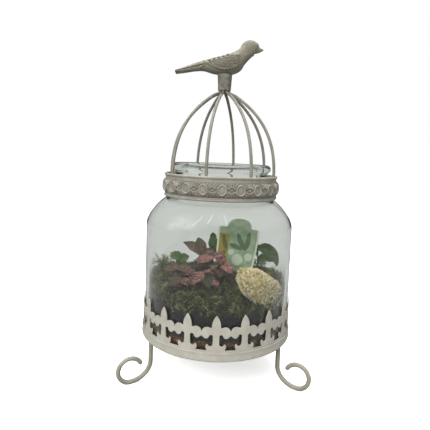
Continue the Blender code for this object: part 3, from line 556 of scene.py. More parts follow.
def make_band(finish):
    """Strip pierced and cut to a fleur-de-lis edge: one tile is bent to the ring and repeated round it."""
    bm = bmesh.new()
    outline = half_fleur()
    corners = [bm.verts.new((u * MM, 0, z * MM)) for u, z in outline]
    bm.faces.new(corners)
    half = math.pi * BAND_R / FLEURS
    for k in range(1, 8):
        for way, at in (((1, 0, 0), (half * k / 8, 0, 0)), ((0, 0, 1), (0, 0, FLEUR_FOOT + k * 4.6 * MM))):
            whole = bm.verts[:] + bm.edges[:] + bm.faces[:]
            bmesh.ops.bisect_plane(bm, geom=whole, plane_co=at, plane_no=way)
    mirrored = bmesh.ops.duplicate(bm, geom=bm.verts[:] + bm.edges[:] + bm.faces[:])["geom"]
    for vert in [item for item in mirrored if isinstance(item, bmesh.types.BMVert)]:
        vert.co.x = -vert.co.x
    bmesh.ops.remove_doubles(bm, verts=bm.verts[:], dist=0.002 * MM)
    bmesh.ops.recalc_face_normals(bm, faces=bm.faces[:])
    made = bmesh.ops.extrude_face_region(bm, geom=bm.faces[:], use_keep_orig=True)
    for vert in [item for item in made["geom"] if isinstance(item, bmesh.types.BMVert)]:
        vert.co.y = 1
    for vert in bm.verts:
        vert.co = radial(BAND_PHASE + vert.co.x / BAND_R, BAND_R - BAND_THICK * vert.co.y, vert.co.z)
    seam = [f for f in bm.faces if abs(abs(math.atan2(f.calc_center_median().x, -f.calc_center_median().y)
                                          - BAND_PHASE) - math.pi / FLEURS) < 0.0004]
    bmesh.ops.delete(bm, geom=seam, context="FACES_ONLY")
    mesh = bpy.data.meshes.new("fleur-de-lis band")
    bm.to_mesh(mesh)
    bm.free()
    band = show("fleur_de_lis_band", grown(mesh, ROUND, Count=FLEURS, Finish=finish), finish)
    edge = band.modifiers.new("soft edges", "BEVEL")
    edge.width = 0.22 * MM
    edge.segments = 2
    edge.angle_limit = math.radians(50)
    apply_modifiers(band)
    return stand_for(band, "cream_paint", "stand_band")


def make_legs(finish):
    """Three bent wire legs: straight down, out along the ground and up round a scroll with a cut end."""
    low = 1.64 * MM
    down = SCROLL_CENTRE_R - LEG_R
    path = [(LEG_R, TRAY_Z - 0.3 * MM), (LEG_R, 28 * MM), (LEG_R, LEG_STRAIGHT_Z)]
    for i in range(1, 12):
        turn = math.radians(90 * i / 12)
        drop = (LEG_STRAIGHT_Z - low) * math.sin(turn)
        path.append((SCROLL_CENTRE_R - down * math.cos(turn), LEG_STRAIGHT_Z - drop))
    path += arc((SCROLL_CENTRE_R, low + SCROLL_R), SCROLL_R, -90, 157.5, 40)
    angle = math.radians(-60)
    shape = Shape()
    radii = [LEG_WIRE] * len(path)
    radii[-1] = LEG_WIRE * 0.8
    tube(shape, [radial(angle, r, z) for r, z in path], radii, 16, side_on=radial(angle + math.pi / 2, 1, 0))
    whole = grown(shape.mesh("scroll legs"), ROUND, Count=3, Finish=finish)
    for vert in whole.vertices:
        vert.co.z = max(vert.co.z, 0)
    legs = show("scroll_legs", whole, finish, 60)
    return stand_for(legs, "cream_paint", "stand_leg_1", "stand_leg_2", "stand_leg_3")


# The jar

def shoulder(inset, count):
    """The jar's shoulder, set in by the wall's thickness for its inner side."""
    start = (JAR_R - inset, SHOULDER_Z)
    end = (46.5 * MM - 0.6 * inset, 171.5 * MM - 0.8 * inset)
    return bezier(start, (start[0], start[1] + 9.5 * MM), (end[0] + 9.5 * MM, end[1] - 3.5 * MM), end, count)


def make_jar(finish):
    """One piece of moulded glass: a heavy base, a round shoulder, a short neck and a rolled lip."""
    inner_r = JAR_R - JAR_WALL
    inner_z = JAR_Z + 5 * MM
    profile = [(0.01 * MM, JAR_Z + 1.2 * MM), (48 * MM, JAR_Z + 0.6 * MM), (56 * MM, JAR_Z)]
    profile += arc((JAR_R - 8 * MM, JAR_Z + 8 * MM), 8 * MM, -90, 0, 10)
    profile += [(JAR_R, JAR_Z + (SHOULDER_Z - JAR_Z) * k / 4) for k in (1, 2, 3)]
    profile += shoulder(0, 22) + [(46.5 * MM, 171.5 * MM), (44.9 * MM, 172.6 * MM), (43.9 * MM, 174.2 * MM)]
    profile += [(NECK_R, NECK_Z), (NECK_R, LIP_Z - LIP_R - 0.8 * MM)]
    profile += arc((NECK_R - 0.4 * MM, LIP_Z), LIP_R, -52, 200, 22)
    profile += [(39.6 * MM, 193 * MM), (39.6 * MM, NECK_Z - 1 * MM)]
    profile += shoulder(JAR_WALL, 22)[::-1]
    profile += [(inner_r, inner_z + (SHOULDER_Z - inner_z) * k / 4) for k in (3, 2, 1)]
    profile += arc((inner_r - 5 * MM, inner_z + 5 * MM), 5 * MM, 0, -90, 8)
    profile += [(0.01 * MM, inner_z)]
    jar = show("glass_jar", turned(profile, 160).mesh("glass jar"), finish, 80)
    return stand_for(jar, "jar_glass", "jar")


# The birdcage lid

def emboss(u, v):
    """Height of the collar's ornament, at u along it from an oval's middle and v up, all in millimetres."""
    half = math.pi * COLLAR_R / OVALS / MM
    r = math.hypot(u / 4.4, v / 5.2)
    height = 1.4 * math.exp(-((r - 0.85) / 0.15) ** 2)
    if r < 0.7:
        height += 0.6 * math.sqrt(1 - (r / 0.7) ** 2)
    from_boss = half - abs(u)
    reach = math.hypot(from_boss, v)
    height = max(height, 1.0 * smooth_step(1.0, 0.3, math.hypot(from_boss / 1.7, v / 1.1)))
    if r > 1.02:
        angle = math.atan2(from_boss, abs(v))
        for spoke in (0, 0.36, 0.72, 1.05):
            off = abs(angle - spoke) * reach
            height = max(height, 1.1 * smooth_step(0.65, 0.15, off) * smooth_step(1.7, 2.4, reach))
    return height


def make_collar(finish):
    """Pressed collar: a belt of ovals, bosses and ribs between two rolled edges, with a foot turned in."""
    columns, rows = 40, 46
    tile = Shape()
    half = math.pi / OVALS
    belt_low, belt_high = OVAL_Z - BELT_HALF, OVAL_Z + BELT_HALF
    outer = [(50.6 * MM, COLLAR_Z), (COLLAR_R - 1.4 * MM, COLLAR_Z)]
    outer += arc((COLLAR_R - 1.5 * MM, COLLAR_Z + 1.1 * MM), 1.1 * MM, -80, 65, 7)
    outer += arc((COLLAR_R - 1.7 * MM, COLLAR_Z + 2.7 * MM), 0.8 * MM, -45, 70, 5)
    high = [(COLLAR_R - 1.4 * MM, belt_high + 0.6 * MM), (COLLAR_R - 1.4 * MM, COLLAR_TOP - 2.6 * MM)]
    high += arc((COLLAR_R - 1.7 * MM, COLLAR_TOP - 1.2 * MM), 1.2 * MM, -70, 100, 9)
    inside = [(COLLAR_BORE, COLLAR_TOP - 0.6 * MM), (COLLAR_BORE, COLLAR_Z + 1.6 * MM)]
    inside.append((50.6 * MM, COLLAR_Z + 1.2 * MM))
    belt = []
    for k in range(rows + 1):
        z = belt_low + (belt_high - belt_low) * k / rows
        belt.append((COLLAR_R - 1.35 * MM * abs((z - OVAL_Z) / BELT_HALF) ** 3, z))
    lines = []
    shade_and_patches = []
    for r, z in outer + belt + high + inside + outer[:1]:
        line = []
        for k in range(columns + 1):
            angle = half * (2 * k / columns - 1)
            up = 0
            if belt_low <= z <= belt_high and r > COLLAR_BORE:
                fade = smooth_step(0, 0.5 * MM, min(z - belt_low, belt_high - z))
                up = emboss(angle * COLLAR_R / MM, (z - OVAL_Z) / MM) * fade
            line.append(radial(OVAL_PHASE + angle, r + up * MM, z))
            in_belt = belt_low - 0.8 * MM <= z <= belt_high + 0.3 * MM and r > COLLAR_BORE
            # Painted shade: the belt's low places between ovals, bosses and ribs are darkened; the rest of
            # the collar only faintly.
            shade_and_patches.append(0.7 * smooth_step(0.9, 0.0, up) if in_belt else 0.05)
        lines.append(line)
    tile.grid(lines)
    mesh = tile.mesh("embossed collar")
    set_attribute(mesh, "shade_and_patch_mask", shade_and_patches)
    whole = grown(mesh, ROUND, Count=OVALS, Finish=finish)
    return stand_for(show("embossed_collar", whole, finish, 60), "cream_paint", "lid_collar")


def make_cage(finish):
    """Eight wires, each one sweep from inside the collar over the dome and down into the ferrule."""
    path = [(WIRE_R, 174 * MM)]
    waist = (13.5 * MM, 263.2 * MM)
    entry = (4 * MM, 269.6 * MM)
    path += bezier((WIRE_R, 192 * MM), (WIRE_R, 228 * MM), (35 * MM, 248.5 * MM), waist, 26)
    path += bezier(waist, (8.5 * MM, 266.8 * MM), (4 * MM, 266.4 * MM), entry, 10)
    path += [entry, (4 * MM, 279 * MM)]
    shape = Shape()
    side_on = radial(WIRE_PHASE + math.pi / 2, 1, 0)
    tube(shape, [radial(WIRE_PHASE, r, z) for r, z in path], WIRE, 14, side_on=side_on)
    mesh = shape.mesh("cage wires")
    # The wires are darkened over their last few millimetres below the ferrule.
    set_attribute(mesh, "shade_and_patch_mask", [0.5 * smooth_step(262 * MM, 268 * MM, v.co.z) for v in mesh.vertices])
    cage = show("cage_wires", grown(mesh, ROUND, Count=WIRES, Finish=finish), finish, 70)
    return stand_for(cage, "cream_paint", *[f"lid_wire_{i}" for i in range(1, WIRES + 1)])


def make_ferrule(finish):
    """Cast sleeve that widens upwards, uneven where the wires' ends are soldered in."""
    profile = [(0.01 * MM, FERRULE_Z + 10 * MM), (5.5 * MM, FERRULE_Z + 10 * MM), (5.5 * MM, FERRULE_Z)]
    profile += [(5.9 * MM, FERRULE_Z + 0.1 * MM), (6.15 * MM, FERRULE_Z + 0.7 * MM)]
    profile += [((6.1 + 0.05 * k) * MM, FERRULE_Z + (1 + k) * MM) for k in range(15)]
    profile += [(0.01 * MM, FERRULE_Z + 15.5 * MM)]
    shape = turned(profile, 48)
    for i, point in enumerate(shape.points):
        place = Vector(point)
        if place.z > FERRULE_Z + 0.5 * MM and place.xy.length > 5.9 * MM:
            swell = 1 + 0.05 * noise.noise(place / (3.2 * MM))
            shape.points[i] = (place.x * swell, place.y * swell, place.z)
    mesh = shape.mesh("ferrule")
    shade_and_patches = [0.45 + 0.5 * noise.noise(Vector(p) / (3 * MM)) for p in shape.points]
    set_attribute(mesh, "shade_and_patch_mask", [max(0, h) for h in shade_and_patches])
    return stand_for(show("ferrule", mesh, finish, 50), "cream_paint", "lid_ferrule")


BIRD_STATIONS = (
    (-46.5, 285.5, 1.7, 5.6), (-38, 287.6, 2.7, 4.6), (-29, 290.2, 3.7, 4.4), (-20, 291.9, 4.9, 6.0),
    (-10, 292.3, 7.6, 8.6), (0, 293.2, 9.3, 9.9), (7.6, 295.6, 9.7, 9.8), (12.2, 299.4, 7.9, 8.4),
    (17.7, 304.3, 6.7, 7.0), (22.0, 309.0, 7.6, 6.6), (27.0, 309.2, 6.0, 5.2), (30.6, 308.2, 2.9, 2.7),
    (35, 308.3, 0.5, 0.5),
)


def catmull(stations, share):
    """A smooth value of each column at a share of the way along the stations."""
    spot = share * (len(stations) - 1)
    low = min(int(spot), len(stations) - 2)
    t = spot - low
    rows = [stations[min(max(low + k, 0), len(stations) - 1)] for k in (-1, 0, 1, 2)]
    return [0.5 * (2 * b + (c - a) * t + (2 * a - 5 * b + 4 * c - d) * t * t + (3 * b - a - 3 * c + d) * t**3)
            for a, b, c, d in zip(*rows)]


def ridge(value, middle, width):
    """1 at the middle, falling softly to 0 a width away."""
    return math.exp(-((value - middle) / width) ** 2)


def plumage(x, z):
    """Height of the cast wing and tail over a point of the flank, in millimetres, and how much painted shade
    it gets: on the wing panel between its ridges, in quill grooves, covert slots and the tail's edge line.
    """
    lower = 288.0 + 0.021 * (x + 1.5) ** 2
    upper = 298.5 + 0.26 * x - 0.012 * max(0, -x - 8) ** 2
    ahead = smooth_step(13.5, 11, x)
    behind = smooth_step(-25, -22.5, x)
    panel = smooth_step(lower - 0.3, lower + 0.5, z) * smooth_step(upper + 0.6, upper - 0.2, z)
    panel *= ahead * behind
    height = 0.9 * panel
    # dark is painted shade for the cast's grooves and slots, not a colour of the casting.
    dark = 0.25 * panel
    height += 0.6 * ridge(z, lower + 0.6, 0.55) * ahead * behind
    height += 0.9 * ridge(z, upper, 0.75) * ahead * behind
    dark *= 1 - max(ridge(z, lower + 0.5, 0.5), ridge(z, upper, 0.8))
    quill = math.sin(math.tau * (z - lower + 0.15 * x) / 2.4)
    height += 0.15 * quill * panel
    dark += 0.2 * panel * smooth_step(-0.4, -1, quill)
    if -15.5 < x < 6:
        slot = abs((x + 0.9 * (z - upper) + 15.3) % 4.3 - 2.15)
        cut = smooth_step(1.3, 0.8, slot) * smooth_step(upper + 1, upper + 1.6, z)
        cut *= smooth_step(upper + 5, upper + 4, z)
        height -= 1.3 * cut
        dark = max(dark, cut)
    if x < -15:
        edge = ridge(z, 286.4 + (x + 45.3) * 0.245, 0.5) * smooth_step(-15, -19, x)
        height -= 0.7 * edge
        dark = max(dark, 0.9 * edge)
    return height, dark


def make_bird(finish):
    """Cast bird: a lofted body, with relief for its laid-back wings, slotted coverts and flat tail."""
    rows = []
    shade_and_patches = []
    long, sides = 220, 96
    for i in range(long + 1):
        x, z, tall, wide = catmull(BIRD_STATIONS, i / long)
        ahead = catmull(BIRD_STATIONS, min(1, (i + 1) / long))
        back = catmull(BIRD_STATIONS, max(0, (i - 1) / long))
        lean = math.atan2(ahead[1] - back[1], ahead[0] - back[0])
        row = []
        for k in range(sides):
            turn = math.tau * k / sides
            rise = max(tall, 0.3) * math.sin(turn)
            flank = max(wide, 0.3) * math.cos(turn)
            px, pz = x - rise * math.sin(lean), z + rise * math.cos(lean)
            up, dark = plumage(px, pz)
            side_on = smooth_step(0.12, 0.3, abs(math.cos(turn)))
            out = Vector((0, math.cos(turn), math.sin(turn)))
            row.append((Vector((px, flank, pz)) + out * up * side_on) * MM)
            # Painted shade from the plumage's grooves and slots, on the flanks only.
            shade_and_patches.append(dark * side_on)
        rows.append(row)
    shape = Shape()
    shape.grid(rows, round_on=True, caps=True)
    mesh = shape.mesh("cast bird")
    set_attribute(mesh, "shade_and_patch_mask", shade_and_patches)
    bird = show("cast_bird", mesh, finish, 60)
    return stand_for(bird, "cast_cream", "lid_bird")


# The planting

def moss_height(x, y):
    """Height of the moss in metres over a point of the jar's floor, for x and y in millimetres."""
    fall = 0.0017 if y < 8 else 0.0035
    height = 91.5 - fall * (y - 8) ** 2
    height += 4 * math.exp(-((x + 8) ** 2 + (y - 4) ** 2) / 900)
    height -= 7 * math.exp(-((x - 42) ** 2 + (y + 46) ** 2) / 600)
    height += 2.2 * noise.noise(Vector((x, y, 0)) / 14) + 1.4 * noise.noise(Vector((x, y, 40)) / 6)
    return height * MM


def soil_height(x, y):
    """Height of the soil in metres, under the moss, for x and y in millimetres."""
    return moss_height(x, y) - MOSS_THICK * MM


def heaped(top, bottom, rings, segments):
    """A round layer that fills the jar, between two heights given for each point."""
    rows = []
    for height, radii in ((bottom, range(rings + 1)), (top, range(rings, -1, -1))):
        for i in radii:
            row = []
            for k in range(segments):
                flat = radial(math.tau * k / segments, max(FILL_R * i / rings, 0.01 * MM), 0)
                flat.z = height(flat.x / MM, flat.y / MM)
                row.append(flat)
            rows.append(row)
    shape = Shape()
    shape.grid(rows, round_on=True)
    return shape


def bits_of(name, shapes):
    """A collection of small shapes that the scatter tree picks from, out of the scene."""
    group = bpy.data.collections.new(name)
    for i, shape in enumerate(shapes):
        group.objects.link(bpy.data.objects.new(f"{name} {i}", shape.mesh(f"{name} {i}")))
    return group


def moss_bit(rng):
    """A frond of sheet moss: a low arching strand with short leaves along both its sides."""
    shape = Shape()
    long, high, bend = rng.uniform(3.5, 8), rng.uniform(1, 4.5), rng.uniform(-2.5, 2.5)
    spine = [Vector((long * t, bend * t * t, high * math.sin(math.pi * (0.1 + 0.75 * t)) - 0.4 * high))
             for t in (0, 0.2, 0.4, 0.6, 0.8, 1)]
    side = Vector((-0.2, 1, 0.15))
    shape.grid([[(p - side * 0.14) * MM, (p + side * 0.14) * MM] for p in spine], shade=0.3)
    for i in range(1, 6):
        along = (spine[i] - spine[i - 1]).normalized()
        for way in (-1, 1):
            reach = (along * 0.8 + side * way + UP * rng.uniform(-0.2, 0.6)) * rng.uniform(0.9, 1.8)
            foot = spine[i] - along * rng.uniform(0, 0.6)
            shape.grid([[(foot - along * 0.22) * MM, (foot + along * 0.22) * MM], [(foot + reach) * MM] * 2],
                       shade=[[0.35, 0.35], [0.8, 0.8]])
    return shape


def lichen_bit(rng):
    """A tuft of reindeer moss: a stalk that forks twice into fine blunt pegs, shaded from dark at the stalk
    to pale at the tips as painted shade in the tuft's depth.
    """
    shape = Shape()

    def fork(base, way, long, wide, level):
        end = base + way * long
        # Painted shade: lower levels of the tuft get lower shade values, and so darker colour.
        shades = [[0.1 + 0.3 * level] * 3, [0.35 + 0.32 * level] * 3]
        side = way.orthogonal().normalized()
        other = way.cross(side)
        ring = [math.cos(a) * side + math.sin(a) * other for a in (0, math.tau / 3, 2 * math.tau / 3)]
        shape.grid([[(base + r * wide) * MM for r in ring], [(end + r * wide * 0.6) * MM for r in ring]],
                   shade=shades, round_on=True)
        if level < 2:
            for i in range(3):
                turn = math.tau * i / 3 + rng.uniform(-0.5, 0.5)
                spread = side * math.cos(turn) + other * math.sin(turn)
                onward = (way + spread * rng.uniform(0.5, 1.0)).normalized()
                fork(end, onward, long * 0.62, wide * 0.75, level + 1)

    fork(Vector((0, 0, -0.6)), UP, 1.9, 0.24, 0)
    return shape


def crumb_bit(rng):
    """A crumb or a pebble: a rough ball, flat on one side."""
    bm = bmesh.new()
    bmesh.ops.create_icosphere(bm, subdivisions=1, radius=1)
    shape = Shape()
    stretch = Vector((rng.uniform(0.7, 1.3), rng.uniform(0.7, 1.2), rng.uniform(0.5, 0.8)))
    for vert in bm.verts:
        place = vert.co * rng.uniform(0.8, 1.1)
        shape.points.append(tuple(place[k] * stretch[k] * MM for k in range(3)))
        shape.places.append((0.0, 0.0))
        shape.shades.append(0.5)
    shape.faces += [tuple(v.index for v in f.verts) for f in bm.faces]
    bm.free()
    return shape


def scattered(name, surface, bits, finish, **inputs):
    """The surface's scattered bits as one object."""
    mesh = grown(surface, SCATTER, Bits=bits, Finish=finish, Reach=FILL_R, **inputs)
    tones = [0.0] * len(mesh.vertices)
    mesh.attributes["tone"].data.foreach_get("value", tones)
    shades = [0.0] * len(mesh.vertices)
    mesh.attributes["shade"].data.foreach_get("value", shades)
    mesh.attributes["shade"].data.foreach_set("value", [0.6 * t + 0.4 * s for t, s in zip(tones, shades)])
    return show(name, mesh, finish, 60, merge=False)


def joined(name, pieces):
    """Several objects as one, with all their materials."""
    with bpy.context.temp_override(active_object=pieces[0], selected_editable_objects=pieces):
        bpy.ops.object.join()
    pieces[0].name = name
    return pieces[0]


def make_grit(finish):
    """Drainage grit: a packed layer with loose grains against the glass."""
    base = JAR_Z + 5.3 * MM
    profile = [(0.01 * MM, base)] + arc((FILL_R - 6 * MM, base + 5.5 * MM), 5.5 * MM, -90, 0, 6)
    profile += [(FILL_R - 0.5 * MM, GRIT_TOP), (0.01 * MM, GRIT_TOP)]
    mesh = turned(profile, 96).mesh("grit layer")
    bits = bits_of("pebble", [crumb_bit(random.Random(i)) for i in range(6)])
    sizes = {"Smallest": 0.8, "Largest": 1.9}
    grains = scattered("grit grains", mesh.copy(), bits, finish, Density=90000.0, Seed=2, Lean=0.5, **sizes)
    layer = joined("drainage_grit_layer", [show("grit", mesh, finish), grains])
    return stand_for(layer, "brown_grit", "drainage_grit")


def make_soil(finish):
    """Potting soil: one heap, with crumbs where it lies against the glass."""
    shape = heaped(soil_height, lambda x, y: GRIT_TOP + 0.3 * MM, 20, 128)
    mesh = shape.mesh("soil heap")
    side = turned([(FILL_R - 0.9 * MM, z * MM) for z in range(54, 86, 4)], 96).mesh("soil side")
    bits = bits_of("crumb", [crumb_bit(random.Random(20 + i)) for i in range(6)])
    sizes = {"Smallest": 0.35, "Largest": 1.25}
    crumbs = scattered("crumbs", side, bits, finish, Density=230000.0, Seed=5, Lean=0.5, **sizes)
    heap = joined("potting_soil_heap", [show("soil", mesh, finish), crumbs])
    return stand_for(heap, "potting_soil", "soil")


def make_moss(finish):
    """Moss carpet: a mounded sheet under thousands of small fronds, ragged where it hangs down the glass."""
    def top(x, y):
        lumps = 2.2 * noise.noise(Vector((x, y, 9)) / 8) + 1.4 * noise.noise(Vector((x, y, 30)) / 4)
        return moss_height(x, y) + lumps * MM

    def ragged(x, y):
        return moss_height(x, y) - (3.5 + 5 * noise.noise(Vector((x, y, 70)) / 9)) * MM

    sheet = heaped(top, soil_height, 40, 160)
    # Painted shade: the sheet under the fronds takes the darkest moss colour, so the gaps between fronds read
    # as shade.
    sheet.shades = [0.1] * len(sheet.points)
    mesh = sheet.mesh("moss sheet")
    cover = heaped(top, ragged, 30, 120).mesh("moss cover")
    bm = bmesh.new()
    bm.from_mesh(cover)
    bmesh.ops.recalc_face_normals(bm, faces=bm.faces[:])
    bmesh.ops.delete(bm, geom=[f for f in bm.faces if f.normal.z < -0.1], context="FACES")
    bm.to_mesh(cover)
    bm.free()
    bits = bits_of("moss frond", [moss_bit(random.Random(40 + i)) for i in range(10)])
    sizes = {"Smallest": 0.8, "Largest": 1.7}
    fronds = scattered("fronds", cover, bits, finish, Density=330000.0, Seed=8, Lean=0.6, **sizes)
    carpet = joined("moss_carpet_fronds", [show("moss", mesh, finish), fronds])
    return stand_for(carpet, "green_moss", "moss_carpet")


def make_lichen(finish):
    """Reindeer moss: a lumpy cushion covered in fine forked tufts."""
    bm = bmesh.new()
    bmesh.ops.create_icosphere(bm, subdivisions=4, radius=1)
    for vert in bm.verts:
        lump = 0.92 + 0.14 * noise.noise(vert.co * 2.2) + 0.1 * noise.noise(vert.co * 5)
        vert.co = Vector(vert.co[k] * CUSHION_SIZE[k] * lump for k in range(3))
        vert.co += CUSHION_CENTRE - UP * CUSHION_FALL * vert.co.x
        reach = vert.co.xy.length
        if reach > FILL_R - 1.5 * MM:
            vert.co.xy *= (FILL_R - 1.5 * MM) / reach
        floor = soil_height(vert.co.x / MM, vert.co.y / MM) + 2 * MM
        vert.co.z = max(vert.co.z, floor)
    core = bpy.data.meshes.new("lichen core")
    bm.to_mesh(core)
    bm.free()
    # Painted shade: the core's shade stays 0, its darkest colour, so the gaps between tufts read as shade.
    core.attributes.new("shade", "FLOAT", "POINT")
    core.uv_layers.new(name="blade")
    bits = bits_of("lichen tuft", [lichen_bit(random.Random(60 + i)) for i in range(6)])
    sizes = {"Smallest": 0.6, "Largest": 0.95}
    tufts = scattered("lichen tufts", core.copy(), bits, finish, Density=480000.0, Seed=4, Lean=0.6, **sizes)
    cushion = joined("reindeer_moss_cushion", [show("core", core, finish), tufts])
    return stand_for(cushion, "cream_lichen", "reindeer_moss")


def blade(shape, base, heading, rise, length, wide, droop=35, face=35, shade=0.5):
    """A leaf: an ovate sheet with a folded midrib, quilted between its veins, its edge waved.

    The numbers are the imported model's own: heading in degrees from +X towards +Y, rise its slope at the
    stalk, droop its bend to the tip, and face the turn of its upper side to the front.
    """
    turn = math.radians(heading)
    side = Vector((-math.sin(turn), math.cos(turn), 0))
    flat = Vector((math.cos(turn), math.sin(turn), 0))
    roll = math.radians(face) * side.y
    thick = 0.18 * MM
    fold, rows, columns = 0.22, 14, 8
    point = Vector(base)
    tops, unders, places = [], [], []
    for i in range(rows + 1):
        t = i / rows
        lean = math.radians(rise - droop * t)
        forward = flat * math.cos(lean) + UP * math.sin(lean)
        over = forward.cross(side)
        across = side * math.cos(roll) + over * math.sin(roll)
        normal = over * math.cos(roll) - side * math.sin(roll)
        if i:
            point = point + forward * length / rows
        swell = math.sin(math.pi * t**0.75) ** 0.85 if 0 < t < 1 else 0
        half = max(0.35 * MM * (1 - t), wide / 2 * swell)
        top, under, place = [], [], []
        for j in range(columns + 1):
            u = 2 * j / columns - 1
            quilt = 0.05 * abs(u) * (1 - abs(u)) * math.cos((t - 0.34 * abs(u)) * 6 * math.tau)
            wave = 0.08 * u * math.sin(9 * t) + 0.05 * abs(u) ** 3 * math.sin(19 * t + heading)
            lift = half * (fold * abs(u) ** 1.4 + wave) + wide * quilt
            spot = point + across * half * u * (1 + 0.02 * math.sin(40 * t)) + normal * lift
            top.append(spot + normal * thick)
            under.append(spot - normal * thick)
            place.append((u, t))
        tops.append(top)
        unders.append(under)
        places.append(place)
    rows_round = [a + b[::-1] for a, b in zip(tops, unders)]
    places_round = [p + p[::-1] for p in places]
    shape.grid(rows_round, places_round, shade, round_on=True, caps=True)


def stem_path(entry, head):
    """Points from under the soil to the head, for a stem that leaves the moss near its entry (x, y)."""
    foot = Vector((*entry, soil_height(*entry) / MM - 8))
    head = Vector(head)
    middle = foot.lerp(head, 0.2)
    middle.z = (foot.z + head.z) / 2
    return [Vector(p) * MM for p in bezier(foot, middle, middle, head, 10)] + [head * MM]


# Stems, in millimetres: where each enters the moss, its head, its thickness and its blades, as in the
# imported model: (share of the stem's height, heading, rise, length, width, then droop and face if given)
POLKA_STEMS = {
    "polka_dot_stem_1": (
        (-12, -4), (-16, -3, 113), 0.9,
        ((1.0, 170, 45, 22, 10, 30), (1.0, 112, 68, 19, 10), (0.93, 285, 8, 15, 9), (0.85, 60, 20, 14, 8),
         (0.78, 225, 8, 15, 8), (0.6, 165, 15, 15, 8), (1.0, 20, 30, 14, 8)),
    ),
    "polka_dot_stem_2": (
        (-5, -13), (-5, -14, 113), 0.9,
        ((1.0, 345, 35, 13, 8), (1.0, 215, 5, 18, 9), (0.88, 278, 5, 15, 9), (0.75, 60, 20, 14, 8),
         (0.65, 305, 5, 15, 9), (0.6, 205, 5, 13, 8), (0.95, 150, 25, 13, 8)),
    ),
    "polka_dot_stem_3": (
        (-22, -18), (-36, -25, 106), 0.9,
        ((1.0, 320, 5, 16, 9), (0.95, 170, 10, 17, 9), (0.85, 245, 5, 14, 9), (0.75, 95, 25, 15, 8),
         (0.8, 10, 20, 12, 8), (0.8, 195, 10, 13, 8)),
    ),
    "polka_dot_stem_4": (
        (-24, -32), (-31, -38, 98), 0.8,
        ((1.0, 215, 2, 16, 8), (0.97, 300, 8, 11, 7), (0.8, 130, 15, 12, 7), (0.85, 200, 10, 11, 7)),
    ),
    "polka_dot_stem_5": (
        (-9, -32), (-11, -37, 104), 0.9,
        ((1.0, 222, -12, 17, 9), (0.97, 288, -15, 17, 9), (0.8, 340, 5, 14, 8), (0.75, 160, 15, 13, 8),
         (0.9, 60, 30, 12, 8)),
    ),
    "polka_dot_stem_6": (
        (5, -16), (5, -18, 109), 0.9,
        ((1.0, 120, 40, 12, 8), (0.95, 300, 5, 17, 10), (0.85, 258, 0, 14, 9), (0.75, 15, 10, 13, 9),
         (0.65, 100, 25, 14, 8), (0.7, 330, 0, 13, 8)),
    ),
}
GREEN_STEMS = {
    "green_stem_1": (
        (-38, 12), (-40, 12, 103), 0.9,
        ((1.0, 150, 45, 12, 10), (0.95, 20, 40, 12, 11), (0.8, 80, 30, 13, 9), (0.8, 240, 30, 12, 9)),
    ),
    "green_stem_2": (
        (-5, 18), (-5, 16, 113), 0.9,
        ((1.0, 100, 82, 17, 9), (0.9, 30, 50, 16, 9), (0.75, 150, 30, 16, 9)),
    ),
    "green_stem_3": (
        (42, 17), (40, 14, 117), 1.0,
        ((1.0, 342, 18, 31, 11, 105, 55), (0.93, 120, 35, 16, 10), (0.8, 355, 10, 17, 9),
         (0.66, 40, 10, 14, 9)),
    ),
}
SPRIGS = {"wispy_sprig_1": (-56, 1, 150), "wispy_sprig_2": (-51, -6, 215)}


def make_stems(pattern, finish, slot, shades, small):
    """One piece for each leafy stem: the stem, its leaves in shades between the two given, and small ones."""
    for number, (node, (entry, head, thick, blades)) in enumerate(pattern.items()):
        rng = random.Random(number + 70)
        path = stem_path(entry, head)
        shape = Shape()
        tube(shape, path, thick * MM, 8, 0.7, shade=0.8)
        spans = ((0.55, 1), (0, 360), (0, 50), (7, 12), (4.5, 6.5))
        young = [tuple(rng.uniform(*span) for span in spans) for _ in range(small)]
        for share, heading, rise, length, wide, *bend in (*blades, *young):
            spot = share * (len(path) - 1)
            low = min(int(spot), len(path) - 2)
            base = path[low].lerp(path[low + 1], spot - low)
            shade = rng.uniform(*shades)
            blade(shape, base, heading, rise, length * MM, 1.15 * wide * MM, *bend, shade=shade)
        plant = show(node.replace("stem", "plant"), shape.mesh(node), finish, 50, merge=False)
        stand_for(plant, slot, node)


def make_sprigs(finish):
    """Wispy sprigs: arching strands set with small leaflets."""
    for number, (node, (x, y, heading)) in enumerate(SPRIGS.items()):
        rng = random.Random(number + 90)
        shape = Shape()
        ground = moss_height(x, y) / MM
        for _ in range(16):
            turn = math.radians(heading + rng.uniform(-130, 130))
            out = Vector((math.cos(turn), math.sin(turn), 0)) * rng.uniform(4, 15)
            start = Vector((x, y, ground - 3))
            top = start + out * 0.4 + UP * rng.uniform(12, 24)
            end = start + out + UP * rng.uniform(8, 22)
            path = [Vector(p) for p in bezier(start, start.lerp(top, 0.5), top, end, 8)] + [end]
            path = [p if p.xy.length < 64 else Vector((*(p.xy * 64 / p.xy.length), p.z)) for p in path]
            tube(shape, [p * MM for p in path], 0.35 * MM, 4, 0.5, shade=rng.random())
            for i in range(2, len(path)):
                along = (path[i] - path[i - 1]).normalized()
                side = along.cross(UP).normalized()
                for way in (-1, 1):
                    tip = path[i] + (way * side + along + UP * rng.uniform(-0.2, 0.6)) * rng.uniform(1.2, 2.4)
                    wide = along * 0.5
                    foot = [(path[i] - wide) * MM, (path[i] + wide) * MM]
                    shape.grid([foot, [tip * MM, (tip + wide * 0.3) * MM]], shade=rng.random())
        sprig = show(node.replace("sprig", "fronds"), shape.mesh(node), finish, 60, merge=False)
        stand_for(sprig, "wispy_green", node)


